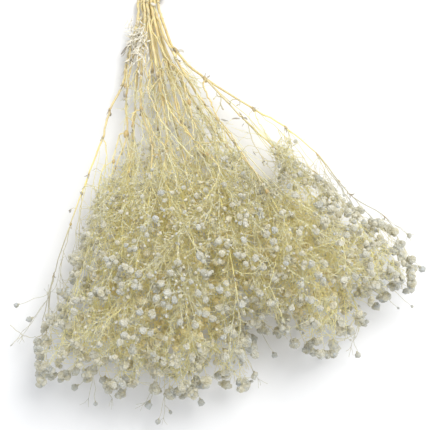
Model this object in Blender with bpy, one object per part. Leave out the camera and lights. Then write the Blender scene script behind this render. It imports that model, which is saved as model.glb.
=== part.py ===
"""Dried baby's breath bunch: cut, dried flowering sprays that lie on a flat surface, drawn together by a tie.

Each spray is one grown piece, from cut end to florets: a straw stem with swollen joints, branches that
leave the joints and fork again and again, dried leaves, and a papery floret on the end of every stalk.
Sizes are written in millimetres. The stems point to +Y, the heads fan out towards -Y.
"""

import math
import random

import bmesh
import bpy
import numpy as np
from mathutils import Quaternion, Vector

MM = 0.001
SEED = 11
PART_COLLECTION = "dried_babys_breath_bunch"

# The plan is drawn as it looks from an eye over the bunch, on a plane at the height of the bunch's middle
EYE = Vector((48.0, -155.0, 900.0))
PLAN_HEIGHT = 60.0

# Outline of the heads in plan, from the waist round the right side, with the notch between the two lobes
OUTLINE = (
    (9, -6), (17, -32), (37, -56), (50, -85), (67, -114), (82, -126), (99, -130), (109, -120),
    (127, -134), (140, -146), (160, -158), (174, -164), (186, -178), (193, -192), (189, -209), (170, -213),
    (160, -222), (156, -235), (145, -247), (135, -257), (114, -255), (82, -239), (78, -244),
    (80, -266), (72, -284), (48, -277), (33, -289), (16, -287), (0, -282), (-24, -288), (-37, -277),
    (-59, -275), (-81, -279), (-83, -252), (-73, -225), (-58, -186), (-42, -150), (-37, -135),
    (-27, -124), (-19, -99), (-19, -66), (-13, -32), (-9, -7),
)
# Florets that stand out past the outline on long stalks: place in plan, and height
STRAY_FLORETS = (
    (188, -170, 44), (180, -222, 34), (190, -221, 30), (151, -256, 36), (91, -256, 40), (106, -102, 52),
    (-95, -220, 40), (-86, -230, 32), (-99, -247, 26), (5, -302, 30), (0, -292, 40), (16, -297, 22),
)

# The cloud of florets: heights of its middle and top, and how far in from the outline it is at full height
MIDDLE_HEIGHT = 50.0
TOP_HEIGHT = 122.0
ROUNDING = 72.0
UNDERSIDE = 0.92
FIRST_FLORETS = 66.0
FULL_FLORETS = 170.0
FLORET_SPACING = 17.9
RIM_SPACING = 16.0
RIM_HEIGHTS = (26.0, 62.0)
DARTS = 30000

# Florets, and the height below which one lies on the surface
FLORET_RADIUS = 4.4
SETTLED = 2.2 * FLORET_RADIUS

# Twigs: they thicken with the florets that they carry, keep part of their old heading at a fork, and fork
# halfway to their florets at most
STALK_RADIUS = 0.5
TWIG_CORNER = 1.25
ROOT_SHARE = 0.4
THICKENING = 0.3
HEADING_KEPT = 0.4
FORK_SHARE = 0.5
FORK_LIMIT = 0.7

# What a branch's joint is chosen by, in degrees of wrong lean: a millimetre of length or of missing room
BRANCH_LEAN = math.radians(36)
TIP_LEAN_SHARE = 0.5
LENGTH_COST = 0.35
CROWDING_COST = 60.0

# Main stems, and the clear space kept between two pieces
STEM_RADIUS = 1.15
STEM_TIP_RADIUS = 0.75
ARM_SHARE = 0.8
FIRST_JOINT = 4
JOINT_SWELL = 1.4
GAP = 0.3

# Dried leaves at the lowest joints of each spray that have room for one
LEAFY_JOINTS = 3
LEAF_LENGTH = 11.0
LEAF_WIDTH = 3.6
LEAF_THICKNESS = 1.3
LEAF_LEAN = math.radians(50)
LEAF_SIDES = 8

# Tie: turns of twine round the waist, just past the point where the stems come together
TIE_Y = 15.0
TIE_HEIGHT = 6.3
TIE_TURNS = 3
TIE_RUN = 10.0
TIE_STEPS = 14
TWINE_RADIUS = 1.05
TIE_HALF_WIDTH = 6.95
TIE_HALF_HEIGHT = 4.6

# Cut ends, which rest on the surface
CUT_Y = 77.0
CUT_STAGGER = 4.0
CUT_SPREAD = 1.35
STEM_PITCH = 2.7
ROW_HEIGHT = STEM_PITCH * math.sqrt(0.75)

STRAW = (0.80, 0.66, 0.36, 1.0)
TWINE = (0.56, 0.43, 0.26, 1.0)


class Plan:
    """One spray as drawn: its place in the tie, counted in stem pitches and rows, and its routes."""

    def __init__(self, name, column, row, route, *arms):
        self.name = name
        self.slot = Vector((column * STEM_PITCH, TIE_Y, TIE_HEIGHT + row * ROW_HEIGHT))
        self.route = route
        self.arms = arms


# A route holds the joints of a stem: place in plan, and height. An arm starts at a joint of the route.
PLANS = (
    Plan(
        "spray_right_rim", 2, 0,
        ((10, -14, 11), (19, -36, 16), (40, -56, 24), (75, -78, 32), (99, -92, 38), (122, -112, 43),
         (145, -140, 46), (170, -156, 45), (181, -174, 43)),
        ((40, -56, 24), (68, -85, 38), (91, -106, 50), (120, -124, 61), (140, -146, 66), (158, -172, 62)),
    ),
    Plan(
        "spray_right_high", 1.5, 1,
        ((7, -14, 14), (20, -43, 24), (41, -76, 40), (62, -103, 56), (82, -132, 74), (97, -158, 90),
         (112, -186, 98), (126, -214, 92)),
    ),
    Plan(
        "spray_right_middle", 1, 0,
        ((5, -14, 9), (17, -46, 14), (36, -78, 24), (60, -110, 38), (88, -140, 52), (118, -170, 60),
         (140, -200, 58), (150, -222, 50)),
    ),
    Plan(
        "spray_right_low", 1.5, -1,
        ((6, -15, 4.6), (14, -46, 6), (30, -82, 9), (50, -120, 14), (74, -158, 20), (100, -192, 24),
         (118, -222, 24)),
        ((50, -120, 14), (90, -152, 18), (130, -178, 22), (160, -198, 22)),
    ),
    Plan(
        "spray_middle_right_high", 0.5, 1,
        ((4, -14, 15), (14, -52, 28), (24, -88, 46), (40, -112, 60), (51, -138, 78), (56, -168, 94),
         (62, -200, 104), (66, -230, 98)),
    ),
    Plan(
        "spray_middle_right_low", 0.5, -1,
        ((2.5, -15, 4.8), (9, -50, 7), (20, -92, 12), (32, -138, 20), (46, -182, 28), (58, -222, 30),
         (64, -254, 26)),
    ),
    Plan(
        "spray_middle", 0, 0,
        ((1.5, -14, 9.5), (7, -50, 15), (13, -90, 28), (22, -130, 44), (30, -172, 58), (36, -212, 66),
         (38, -252, 58)),
    ),
    Plan(
        "spray_middle_high", -0.5, 1,
        ((0.5, -14, 15.5), (7, -56, 30), (13, -90, 48), (12, -124, 70), (17, -156, 90), (23, -192, 106),
         (28, -228, 106), (30, -258, 92)),
    ),
    Plan(
        "spray_middle_low", -0.5, -1,
        ((-1, -15, 4.8), (3, -52, 7), (7, -94, 13), (11, -142, 21), (14, -192, 28), (14, -236, 30),
         (12, -272, 26)),
    ),
    Plan(
        "spray_left_high", -1.5, 1,
        ((-2.5, -14, 14.5), (-5, -54, 26), (-5, -80, 38), (2, -104, 54), (1, -138, 76), (-6, -178, 94),
         (-14, -218, 100), (-20, -252, 88)),
    ),
    Plan(
        "spray_left_middle", -1, 0,
        ((-4.5, -14, 9.5), (-12, -44, 15), (-16, -70, 24), (-15, -98, 36), (-14, -126, 48), (-22, -166, 60),
         (-34, -208, 66), (-46, -246, 58)),
        ((-15, -98, 36), (-24, -122, 44), (-34, -150, 58), (-46, -186, 68), (-54, -216, 66)),
    ),
    Plan(
        "spray_left_low", -1.5, -1,
        ((-3.5, -15, 4.6), (-8, -52, 6), (-11, -94, 12), (-17, -144, 20), (-24, -194, 25), (-34, -238, 26),
         (-40, -268, 22)),
    ),
    Plan(
        "spray_left_rim", -2, 0,
        ((-7.5, -14, 9.5), (-14, -40, 14), (-19, -62, 20), (-28, -80, 26), (-33, -100, 32), (-43, -126, 37),
         (-56, -162, 40), (-68, -198, 40), (-76, -232, 34)),
    ),
)


def placed(x, y, z):
    """The point at height z that is seen at (x, y) of the plan."""
    nearer = (EYE.z - z) / (EYE.z - PLAN_HEIGHT)
    return Vector((EYE.x + (x - EYE.x) * nearer, EYE.y + (y - EYE.y) * nearer, z))


def eased(value):
    """0 below 0 and 1 above 1, smooth between."""
    value = np.clip(value, 0.0, 1.0)
    return value * value * (3 - 2 * value)


def inset(spots):
    """How far each spot of the plan is inside the outline, or a negative number outside it."""
    start = np.array(OUTLINE, float)
    side = np.roll(start, -1, axis=0) - start
    reach = spots[:, None] - start
    share = np.clip((reach * side).sum(axis=2) / (side * side).sum(axis=1), 0, 1)
    nearest = np.linalg.norm(reach - side * share[:, :, None], axis=2).min(axis=1)
    above = start[:, 1] > spots[:, 1:]
    crosses = above != np.roll(above, -1, axis=1)
    slope = side[:, 0] / np.where(side[:, 1] == 0, 1, side[:, 1])
    beyond = start[:, 0] + slope * reach[:, :, 1] > spots[:, :1]
    inside = np.count_nonzero(crosses & beyond, axis=1) % 2 == 1
    return np.where(inside, nearest, -nearest)


def rim_florets(chance):
    """A row of florets just inside the outline of the heads, at the heights where the cloud is widest."""
    start = np.array(OUTLINE, float)
    side = np.roll(start, -1, axis=0) - start
    length = np.linalg.norm(side, axis=1)
    along = np.arange(0, length.sum(), RIM_SPACING)
    corner = np.searchsorted(np.cumsum(length), along)
    share = (along - (np.cumsum(length) - length)[corner]) / length[corner]
    inward = np.column_stack((side[:, 1], -side[:, 0]))[corner] / length[corner, None]
    spots = start[corner] + side[corner] * share[:, None] + inward * FLORET_RADIUS
    heights = chance.uniform(*RIM_HEIGHTS, len(spots))
    far = np.linalg.norm(spots, axis=1) > FULL_FLORETS
    return [placed(*spot, z) for spot, z in zip(spots[far], heights[far])]


def floret_places():
    """Places of the florets: spread evenly through a cloud that is flat below and domed above, with none at
    the waist and the most at the far ends."""
    chance = np.random.default_rng(SEED)
    low, high = np.min(OUTLINE, axis=0), np.max(OUTLINE, axis=0)
    spots = chance.uniform(low, high, (DARTS, 2))
    share, height = chance.random((2, DARTS))
    away = np.linalg.norm(spots, axis=1)
    deep = inset(spots)
    wanted = (share < eased((away - FIRST_FLORETS) / (FULL_FLORETS - FIRST_FLORETS))) & (deep > FLORET_RADIUS)
    spread = eased(away / FULL_FLORETS)
    middle = TIE_HEIGHT + (MIDDLE_HEIGHT - TIE_HEIGHT) * spread
    bulge = np.sqrt(1 - (1 - np.clip(deep / ROUNDING, 0, 1)) ** 2)
    half = (TOP_HEIGHT - MIDDLE_HEIGHT) * bulge * spread
    bottom = np.maximum(middle - half * UNDERSIDE, FLORET_RADIUS)
    heights = bottom + (middle + half - bottom) * height
    heights[heights < SETTLED] = FLORET_RADIUS
    first = [placed(*stray) for stray in STRAY_FLORETS] + rim_florets(chance)
    count = len(first)
    found = np.empty((DARTS, 3))
    found[:count] = first
    for spot, z in zip(spots[wanted], heights[wanted]):
        place = placed(*spot, z)
        near = found[:count] - place
        if (near * near).sum(axis=1).min() > FLORET_SPACING ** 2:
            found[count] = place
            count += 1
    return [Vector(place) for place in found[:count]]


def stem_of(plan):
    """Points of the main stem: its cut end, a straight run through the tie, and its joints."""
    drop = TIE_HEIGHT - ROW_HEIGHT - STEM_RADIUS
    stagger = random.Random(plan.name).uniform(0, CUT_STAGGER)
    end = Vector((plan.slot.x * CUT_SPREAD, CUT_Y - stagger, plan.slot.z - drop))
    held = Vector((0, TIE_RUN / 2, 0))
    return [end, plan.slot + held, plan.slot - held] + [placed(*joint) for joint in plan.route]


class Spray:
    """A plan made real: its stems, the places of its florets, its twigs, and its leaves as (root, tip)."""

    def __init__(self, plan):
        self.name = plan.name
        self.stems = [stem_of(plan)] + [[placed(*joint) for joint in arm] for arm in plan.arms]
        self.targets = []
        self.twigs = []
        self.leaves = []

    def sides(self):
        """Every straight stretch of its stems, as two arrays of points."""
        pairs = [pair for stem in self.stems for pair in zip(stem, stem[1:])]
        return np.array([a for a, _ in pairs]), np.array([b for _, b in pairs])

    def joints(self):
        """Where side branches may leave: (place, direction of growth, whether the stem ends there)."""
        found = []
        for number, stem in enumerate(self.stems):
            first = FIRST_JOINT if number == 0 else 1
            for index in range(first, len(stem)):
                last = index == len(stem) - 1
                ahead = stem[index] if last else stem[index + 1]
                found.append((stem[index], (ahead - stem[index - 1]).normalized(), last))
        return found


def nearest_points(points, sides):
    """For each point, the nearest point of the straight stretches, and how far it is."""
    start, end = sides
    side = end - start
    reach = points[:, None, :] - start[None]
    share = np.clip((reach * side).sum(axis=2) / (side * side).sum(axis=1), 0, 1)
    apart = reach - side * share[:, :, None]
    far = np.linalg.norm(apart, axis=2)
    best = far.argmin(axis=1)
    row = np.arange(len(points))
    return points - apart[row, best], far[row, best]


def room(points, spray, sprays):
    """How far each point is from the nearest place that is as near to another spray's stems as to its own."""
    others = [other.sides() for other in sprays if other is not spray]
    rest = tuple(np.concatenate(ends) for ends in zip(*others))
    return (nearest_points(points, rest)[1] - nearest_points(points, spray.sides())[1]) / 2


def share_out(places, sprays):
    """Gives each floret to the spray whose stem is nearest. One near the border to another is bent clear."""
    points = np.array(places)
    needed = FLORET_RADIUS + GAP
    for spray in sprays:
        own = points[room(points, spray, sprays) > 0]
        for _ in range(3):
            short = np.maximum(needed - room(own, spray, sprays), 0)
            stem, far = nearest_points(own, spray.sides())
            own += (stem - own) / far[:, None] * short[:, None]
        own[:, 2] = np.where(own[:, 2] < SETTLED, FLORET_RADIUS, own[:, 2])
        free = room(own, spray, sprays) > needed - GAP / 2
        spray.targets = [Vector(place) for place in own[free]]


def halves(places, forward):
    """Splits places into two groups, across the direction in which they spread most seen along forward."""
    points = np.array(places)
    forward = np.array(forward)
    middle = points.mean(axis=0)
    flat = (points - middle) - ((points - middle) @ forward)[:, None] * forward
    across = np.linalg.svd(flat, full_matrices=False)[2][0]
    order = np.argsort(flat @ across, kind="stable")
    cut = len(places) // 2
    return [places[i] for i in order[:cut]], [places[i] for i in order[cut:]]


class Twig:
    """A stalk with a floret on its end, and the points where other twigs fork from it."""

    def __init__(self, start):
        self.points = [start]
        self.radii = []

    def reach(self, point, florets):
        """Lengthens the twig to point, as thick on the way as the florets that it carries need."""
        self.radii.append(min(STALK_RADIUS * florets ** THICKENING, STEM_TIP_RADIUS))
        self.points.append(point)

    def place(self):
        return self.points[-1]


def branch(twig, direction, places):
    """Lengthens a twig to the first of the places. Returns it with the twigs that fork from it on the way."""
    start = twig.points[-1]
    if len(places) == 1:
        twig.reach(places[0], 1)
        return [twig]
    aim = sum(places, Vector()) / len(places) - start
    nearest = min((place - start).length for place in places)
    heading = direction.lerp(aim.normalized(), 1 - HEADING_KEPT).normalized()
    fork = start + heading * min(aim.length * FORK_SHARE, nearest * FORK_LIMIT)
    twig.reach(fork, len(places))
    straight, aside = halves(places, heading)
    return branch(twig, heading, straight) + branch(Twig(fork), heading, aside)


def best_joint(place, joints, spray, sprays):
    """The joint from which a branch leaves at the usual lean, without growing long or leaving its room."""
    share = np.linspace(0.2, 0.8, 4)[:, None]
    runs = [np.array(at) + (np.array(place) - np.array(at)) * share for at, _, _ in joints]
    space = room(np.concatenate(runs), spray, sprays).reshape(len(joints), len(share)).min(axis=1)

    def cost(number):
        at, growth, last = joints[number]
        reach = place - at
        lean = growth.angle(reach)
        wrong = lean * TIP_LEAN_SHARE if last else abs(lean - BRANCH_LEAN)
        short = max(STALK_RADIUS * 2 + GAP - space[number], 0)
        return math.degrees(wrong) + reach.length * LENGTH_COST + short * CROWDING_COST

    return min(range(len(joints)), key=cost)


def grow(spray, sprays):
    """Grows the twigs of a spray anew: two from a joint, that fork until each floret has its stalk."""
    joints = spray.joints()
    served = {}
    for place in spray.targets:
        served.setdefault(best_joint(place, joints, spray, sprays), []).append(place)
    spray.twigs = []
    for number, places in sorted(served.items()):
        at, growth, _ = joints[number]
        groups = [places] if len(places) == 1 else halves(places, growth)
        for group in groups:
            spray.twigs += branch(Twig(at), growth, group)


def crowded(spray, sprays):
    """Florets whose twigs come too near another spray."""
    share = np.linspace(0.1, 1, 9)[:, None]
    runs = [
        (twig, radius, np.array(start) + (np.array(end) - np.array(start)) * share)
        for twig in spray.twigs
        for start, end, radius in zip(twig.points, twig.points[1:], twig.radii)
    ]
    free = room(np.concatenate([points for _, _, points in runs]), spray, sprays)
    least = free.reshape(len(runs), len(share)).min(axis=1)
    return {
        tuple(twig.place()) for (twig, radius, _), space in zip(runs, least) if space < radius * 1.3 + GAP / 2
    }


def put_out_leaves(spray, sprays):
    """A leaf at each of the lowest joints, off the surface and on the side furthest from the other sprays."""
    share = np.linspace(0.0, 1.0, 6)[:, None]
    for at, growth, _ in spray.joints()[:LEAFY_JOINTS]:
        across = growth.orthogonal().normalized()
        tips = []
        for side in range(LEAF_SIDES):
            out = Quaternion(growth, math.tau * side / LEAF_SIDES) @ across
            heading = growth * math.cos(LEAF_LEAN) + out * math.sin(LEAF_LEAN)
            tip = at + heading * LEAF_LENGTH
            if tip.z > LEAF_WIDTH:
                tips.append(tip)
        runs = [np.array(at) + (np.array(tip) - np.array(at)) * share for tip in tips]
        space = room(np.concatenate(runs), spray, sprays).reshape(len(tips), len(share)).min(axis=1)
        best = int(space.argmax())
        if space[best] > LEAF_WIDTH / 2 + GAP:
            spray.leaves.append((at, tips[best]))


def grown_sprays():
    """All sprays with their branches, after the florets that can't be reached cleanly are dropped."""
    sprays = [Spray(plan) for plan in PLANS]
    share_out(floret_places(), sprays)
    for spray in sprays:
        grow(spray, sprays)
        bad = crowded(spray, sprays)
        while bad:
            spray.targets = [place for place in spray.targets if tuple(place) not in bad]
            grow(spray, sprays)
            bad = crowded(spray, sprays)
        put_out_leaves(spray, sprays)
    return sprays


def material(name, colour, roughness):
    made = bpy.data.materials.new(name)
    made.use_nodes = True
    shader = made.node_tree.nodes["Principled BSDF"]
    shader.inputs["Base Color"].default_value = colour
    shader.inputs["Roughness"].default_value = roughness
    shader.inputs["Metallic"].default_value = 0.0
    return made


def new_object(name, mesh, collection):
    made = bpy.data.objects.new(name, mesh)
    collection.objects.link(made)
    return made


def tube(name, points, radii, collection, closed=False, profile=None):
    """A tube through points as a closed mesh, with six sides, or with the sides of a profile curve."""
    curve = bpy.data.curves.new(name, "CURVE")
    curve.dimensions = "3D"
    curve.bevel_depth = MM
    curve.bevel_resolution = 1
    if profile:
        curve.bevel_mode = "OBJECT"
        curve.bevel_object = profile
    curve.use_fill_caps = True
    spline = curve.splines.new("POLY")
    spline.points.add(len(points) - 1)
    for knot, place, radius in zip(spline.points, points, radii):
        knot.co = (*(place * MM), 1)
        knot.radius = radius
    spline.use_cyclic_u = closed
    drawn = new_object(name + "_curve", curve, collection)
    graph = bpy.context.evaluated_depsgraph_get()
    mesh = bpy.data.meshes.new_from_object(drawn.evaluated_get(graph))
    bpy.data.objects.remove(drawn)
    shape = bmesh.new()
    shape.from_mesh(mesh)
    bmesh.ops.remove_doubles(shape, verts=shape.verts, dist=1e-6)
    bmesh.ops.recalc_face_normals(shape, faces=shape.faces)
    shape.to_mesh(mesh)
    shape.free()
    return new_object(name, mesh, collection)


def pointing(start, direction):
    """A matrix that stands a shape on start with its own +Z along direction, in metres."""
    turned = direction.to_track_quat("Z", "Y").to_matrix().to_4x4()
    turned.translation = start * MM
    return turned


def floret_piece(name, place, direction, collection):
    """A plump eight-sided floret with a flat side to its stalk. One on the surface stands on its tip."""
    low = place.z <= FLORET_RADIUS + 0.01
    shape = bmesh.new()
    bmesh.ops.create_uvsphere(shape, u_segments=4, v_segments=2, radius=FLORET_RADIUS * MM)
    face_up = Vector((1, 1, 1)).rotation_difference(Vector((0, 0, 1))).to_matrix()
    if not low:
        bmesh.ops.rotate(shape, matrix=face_up, verts=shape.verts)
    bmesh.ops.transform(
        shape, matrix=pointing(place, Vector((0, 0, 1)) if low else direction), verts=shape.verts
    )
    mesh = bpy.data.meshes.new(name)
    shape.to_mesh(mesh)
    shape.free()
    return new_object(name, mesh, collection)


def leaf_piece(name, root, tip, collection):
    """A small lance-shaped leaf, thickest along its middle, with its flat side up."""
    shape = bmesh.new()
    bmesh.ops.create_uvsphere(shape, u_segments=4, v_segments=2, radius=MM / 2)
    bmesh.ops.scale(shape, vec=(LEAF_WIDTH, LEAF_THICKNESS, (tip - root).length), verts=shape.verts)
    bmesh.ops.transform(shape, matrix=pointing(root.lerp(tip, 0.5), tip - root), verts=shape.verts)
    mesh = bpy.data.meshes.new(name)
    shape.to_mesh(mesh)
    shape.free()
    return new_object(name, mesh, collection)


def stem_piece(name, points, first_radius, plain, collection):
    """A stem that thins towards its tip. Past its plain points it is thick at each joint and slim between."""
    places, radii = list(points[:plain]), [first_radius] * plain
    for index in range(plain, len(points)):
        thin = first_radius + (STEM_TIP_RADIUS - first_radius) * (index + 1 - plain) / (len(points) - plain)
        places += [points[index - 1].lerp(points[index], 0.5), points[index]]
        radii += [thin, thin * JOINT_SWELL]
    return tube(name, places, radii, collection)


def three_sides(collection):
    """The outline of a twig, a triangle 1 mm from its middle to its corners."""
    curve = bpy.data.curves.new("twig_outline", "CURVE")
    spline = curve.splines.new("POLY")
    spline.points.add(2)
    for step, knot in enumerate(spline.points):
        knot.co = (math.cos(math.tau * step / 3) * MM, math.sin(math.tau * step / 3) * MM, 0, 1)
    spline.use_cyclic_u = True
    return new_object("twig_outline", curve, collection)


def keep_outer_shell(mesh):
    """Removes every closed shell but the largest, which fills any small hollow that the joining sealed."""
    shape = bmesh.new()
    shape.from_mesh(mesh)
    unseen = set(shape.verts)
    shells = []
    while unseen:
        shell, edge = set(), [unseen.pop()]
        while edge:
            vertex = edge.pop()
            shell.add(vertex)
            fresh = {side.other_vert(vertex) for side in vertex.link_edges} & unseen
            unseen -= fresh
            edge.extend(fresh)
        shells.append(shell)
    largest = max(shells, key=len)
    spare = [vertex for vertex in shape.verts if vertex not in largest]
    bmesh.ops.delete(shape, geom=spare, context="VERTS")
    shape.to_mesh(mesh)
    shape.free()


def fused(name, pieces, maker, collection):
    """Joins the pieces, which overlap, into one closed solid."""
    body = pieces[0]
    others = bpy.data.collections.new(name + "_pieces")
    bpy.context.scene.collection.children.link(others)
    for piece in pieces:
        for holder in piece.users_collection:
            holder.objects.unlink(piece)
        (collection if piece is body else others).objects.link(piece)
    union = body.modifiers.new("join", "BOOLEAN")
    union.operation = "UNION"
    union.operand_type = "COLLECTION"
    union.collection = others
    union.solver = "MANIFOLD"
    graph = bpy.context.evaluated_depsgraph_get()
    joined = bpy.data.meshes.new_from_object(body.evaluated_get(graph))
    for piece in list(others.objects) + [body]:
        bpy.data.objects.remove(piece)
    bpy.data.collections.remove(others)
    keep_outer_shell(joined)
    joined.name = name
    joined.materials.clear()
    joined.materials.append(maker)
    joined.shade_smooth()
    joined.set_sharp_from_angle(angle=math.radians(30))
    return new_object(name, joined, collection)


def make_spray(spray, outline, straw, collection):
    pieces = []
    for number, stem in enumerate(spray.stems):
        main = number == 0
        radius = STEM_RADIUS if main else STEM_RADIUS * ARM_SHARE
        pieces.append(stem_piece("stem", stem, radius, FIRST_JOINT if main else 1, collection))
    for twig in spray.twigs:
        radii = [radius * TWIG_CORNER for radius in twig.radii]
        pieces.append(tube("twig", twig.points, [radii[0] * ROOT_SHARE] + radii, collection, profile=outline))
        direction = (twig.points[-1] - twig.points[-2]).normalized()
        pieces.append(floret_piece("floret", twig.place(), direction, collection))
    for root, tip in spray.leaves:
        pieces.append(leaf_piece("leaf", root, tip, collection))
    return fused(spray.name, pieces, straw, collection)


def make_tie(twine, collection):
    """Turns of twine side by side round the stems, pressed into each other."""
    pieces = []
    steps = TIE_STEPS
    for turn in range(TIE_TURNS):
        y = TIE_Y + (turn - (TIE_TURNS - 1) / 2) * TWINE_RADIUS * 1.7
        ring = [
            Vector((
                (TIE_HALF_WIDTH + TWINE_RADIUS) * math.cos(math.tau * step / steps),
                y,
                TIE_HEIGHT + (TIE_HALF_HEIGHT + TWINE_RADIUS) * math.sin(math.tau * step / steps),
            ))
            for step in range(steps)
        ]
        pieces.append(tube("turn", ring, [TWINE_RADIUS] * steps, collection, closed=True))
    return fused("tie", pieces, twine, collection)


def set_down(objects):
    """Moves the bunch so that the middle of its underside is at the origin."""
    corners = np.array([vertex.co for made in objects for vertex in made.data.vertices])
    low, high = corners.min(axis=0), corners.max(axis=0)
    middle = (low + high) / 2
    for made in objects:
        made.location = (-middle[0], -middle[1], -low[2])


def main():
    for old in list(bpy.data.objects):
        bpy.data.objects.remove(old)
    collection = bpy.data.collections.new(PART_COLLECTION)
    bpy.context.scene.collection.children.link(collection)
    straw = material("dried_straw_and_florets", STRAW, 0.8)
    twine = material("twine", TWINE, 0.9)
    outline = three_sides(collection)
    made = [make_spray(spray, outline, straw, collection) for spray in grown_sprays()]
    made.append(make_tie(twine, collection))
    bpy.data.objects.remove(outline)
    set_down(made)


main()
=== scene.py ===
"""Dried baby's breath bunch: the looks of its sprays and of its tie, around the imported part.

Every spray keeps the stem of its solid. Its joints, branches, hair-thin stalks, papery florets and
shrivelled leaves are modelled finer here, and so are the twisted strands of the tie. Places are worked out
in millimetres in the drawing of the bunch: the stems point to +Y and the heads fan out towards -Y.
"""

import math
import random

import bpy
import numpy as np
from mathutils import Matrix, Quaternion, Vector
from mathutils.kdtree import KDTree


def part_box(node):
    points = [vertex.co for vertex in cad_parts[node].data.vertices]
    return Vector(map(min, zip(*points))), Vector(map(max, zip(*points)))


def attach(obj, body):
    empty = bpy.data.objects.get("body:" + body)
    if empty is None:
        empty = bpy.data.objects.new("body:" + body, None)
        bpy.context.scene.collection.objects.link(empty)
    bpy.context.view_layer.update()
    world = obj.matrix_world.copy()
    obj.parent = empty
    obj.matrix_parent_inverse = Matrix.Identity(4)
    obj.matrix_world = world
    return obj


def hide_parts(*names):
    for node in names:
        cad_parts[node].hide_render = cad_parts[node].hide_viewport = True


MM = 0.001
SEED = 7

# The plan is drawn as it looks from an eye over the bunch, on a plane at the height of the bunch's middle
EYE = Vector((48.0, -155.0, 900.0))
PLAN_HEIGHT = 60.0
PLAN_WIDTH = 309.6

# Outline of the heads in plan, from the waist round the right side, with the notch between the two lobes
OUTLINE = (
    (9, -6), (17, -32), (37, -56), (50, -85), (65, -105), (73, -120), (83, -129), (90, -129),
    (92, -118), (88, -105), (96, -99), (105, -104), (108, -115), (118, -121), (131, -130), (143, -139),
    (151, -148), (161, -155), (176, -163), (188, -177), (194, -191), (191, -210), (172, -216),
    (162, -225), (158, -237), (147, -249), (135, -258), (114, -256), (82, -239), (78, -244),
    (80, -266), (72, -284), (48, -277), (33, -289), (16, -287), (0, -282), (-24, -288), (-37, -277),
    (-59, -275), (-81, -279), (-83, -252), (-73, -225), (-58, -186), (-42, -150), (-37, -135),
    (-27, -124), (-19, -99), (-19, -66), (-13, -32), (-9, -7),
)
# Florets that stand out past the outline on long stalks: place in plan, height, and size against a common one
STRAY_FLORETS = (
    (188, -170, 44, 1.1), (197, -194, 40, 1.4), (180, -222, 34, 0.8), (190, -221, 30, 0.7),
    (151, -256, 36, 1.3), (91, -256, 40, 1.3), (106, -102, 52, 0.9), (-95, -220, 40, 1.0),
    (-86, -230, 32, 1.3), (-99, -249, 22, 0.5), (7, -304, 30, 1.1), (0, -292, 40, 1.6),
    (16, -297, 22, 0.8), (-38, -291, 30, 0.9), (-53, -279, 24, 1.4), (38, -290, 34, 1.4),
)
STRAY_RADIUS = 2.0
# Large grey florets that lie on top of the heads, alone or in groups: place in plan, and radius
TOP_FLORETS = (
    (-4, -165, 2.5), (-1, -169, 2.1), (-10, -179, 2.2), (36, -164, 2.3), (5, -158, 2.6), (9, -139, 2.8),
    (6, -215, 2.6), (14, -211, 3), (19, -216, 3), (10.5, -219, 2.6), (14.5, -221, 2.7), (-17, -242, 3.4),
    (-4, -238, 2.9), (41.5, -226, 2.9), (46, -229.5, 2.6), (36.5, -225, 2.3), (67, -219, 3), (51, -209, 2.8),
    (57, -212, 2.2), (45, -206, 2), (35.5, -211, 2.6), (41.5, -215.5, 2.2), (9, -204, 2.7), (21, -189, 2.8),
    (37, -184, 2.9), (39.5, -188, 1.8), (16, -197, 2.4), (-7, -197, 2.5), (-10, -206, 2.5), (-19, -205, 2.2),
    (-21, -210, 2.6), (25, -201, 2), (31, -203, 1.8), (2.5, -226, 2.9), (-6.5, -225, 2.8), (54, -243, 2.4),
    (57, -238, 2.6), (34, -234, 2.8), (69, -173, 2.6), (64, -183, 2), (83, -193, 2.4), (82, -228, 2.3),
    (23, -232, 2.2), (3.5, -255, 2.2), (37, -252, 2.2), (11, -261, 2.8), (85, -169, 2.9), (91, -166, 2.6),
    (90, -174, 2.8), (81, -151, 2), (102, -134, 2.5), (121, -167, 2.5), (148, -165, 2.5), (148, -160, 1.9),
    (101, -179, 2.5), (118, -190, 2.6), (91, -201, 2.2), (122, -198, 2.6), (125.5, -202, 2.3),
    (110, -205, 2.2), (149, -199, 2.7), (156, -201, 2.7), (168, -204, 2.5), (174, -194, 2.7),
    (124, -222, 2.6), (103, -222, 2.5), (89, -219, 2.9), (80, -211, 2.6), (97, -237, 2.8),
)
# Room round each of them without a cluster, and how grey single florets are
TOP_ROOM = 5.5
SINGLE_TONES = (0.45, 1.0)
# How far in from the outline straw and petals get painted shade in grey, from which distance to the waist on
# straw does, and how much greyer the painted shade makes petals at which distances below the waist
SHADE_BAND = 18.0
STRAW_SHADE_ZONE = (120.0, 200.0)
PETAL_SHADE_ZONE = (160.0, 230.0)
PETAL_SHADING = 0.2

# The cloud of florets: heights of its middle and top, and how far in from the outline it is at full height
MIDDLE_HEIGHT = 50.0
TOP_HEIGHT = 122.0
ROUNDING = 72.0
UNDERSIDE = 0.92
LEAST_BULGE = 0.4
FIRST_FLORETS = 84.0
FULL_FLORETS = 180.0
DARTS = 60000

# Clusters of florets: room between two, which grows in the fringe along the outline, and their florets
CLUSTER_SPACING = 12.3
CLUSTER_INSET = 3.5
CLUSTER_SIZES = (2, 3, 4, 7)
SPARSE_SIZES = (1, 2, 3)
FRINGE_SIZES = (4, 6, 8)
FRINGE = 24.0
FRINGE_THINNING = 0.12
FRINGE_ZONE = 200.0
FRINGE_RISE = (FRINGE_ZONE, 245.0)
WIDE_FRINGE = 36.0
RIM_SPACING = 8.0
RIM_INSETS = (2.0, 11.0)
RIM_HEIGHTS = (20.0, 66.0)
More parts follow.
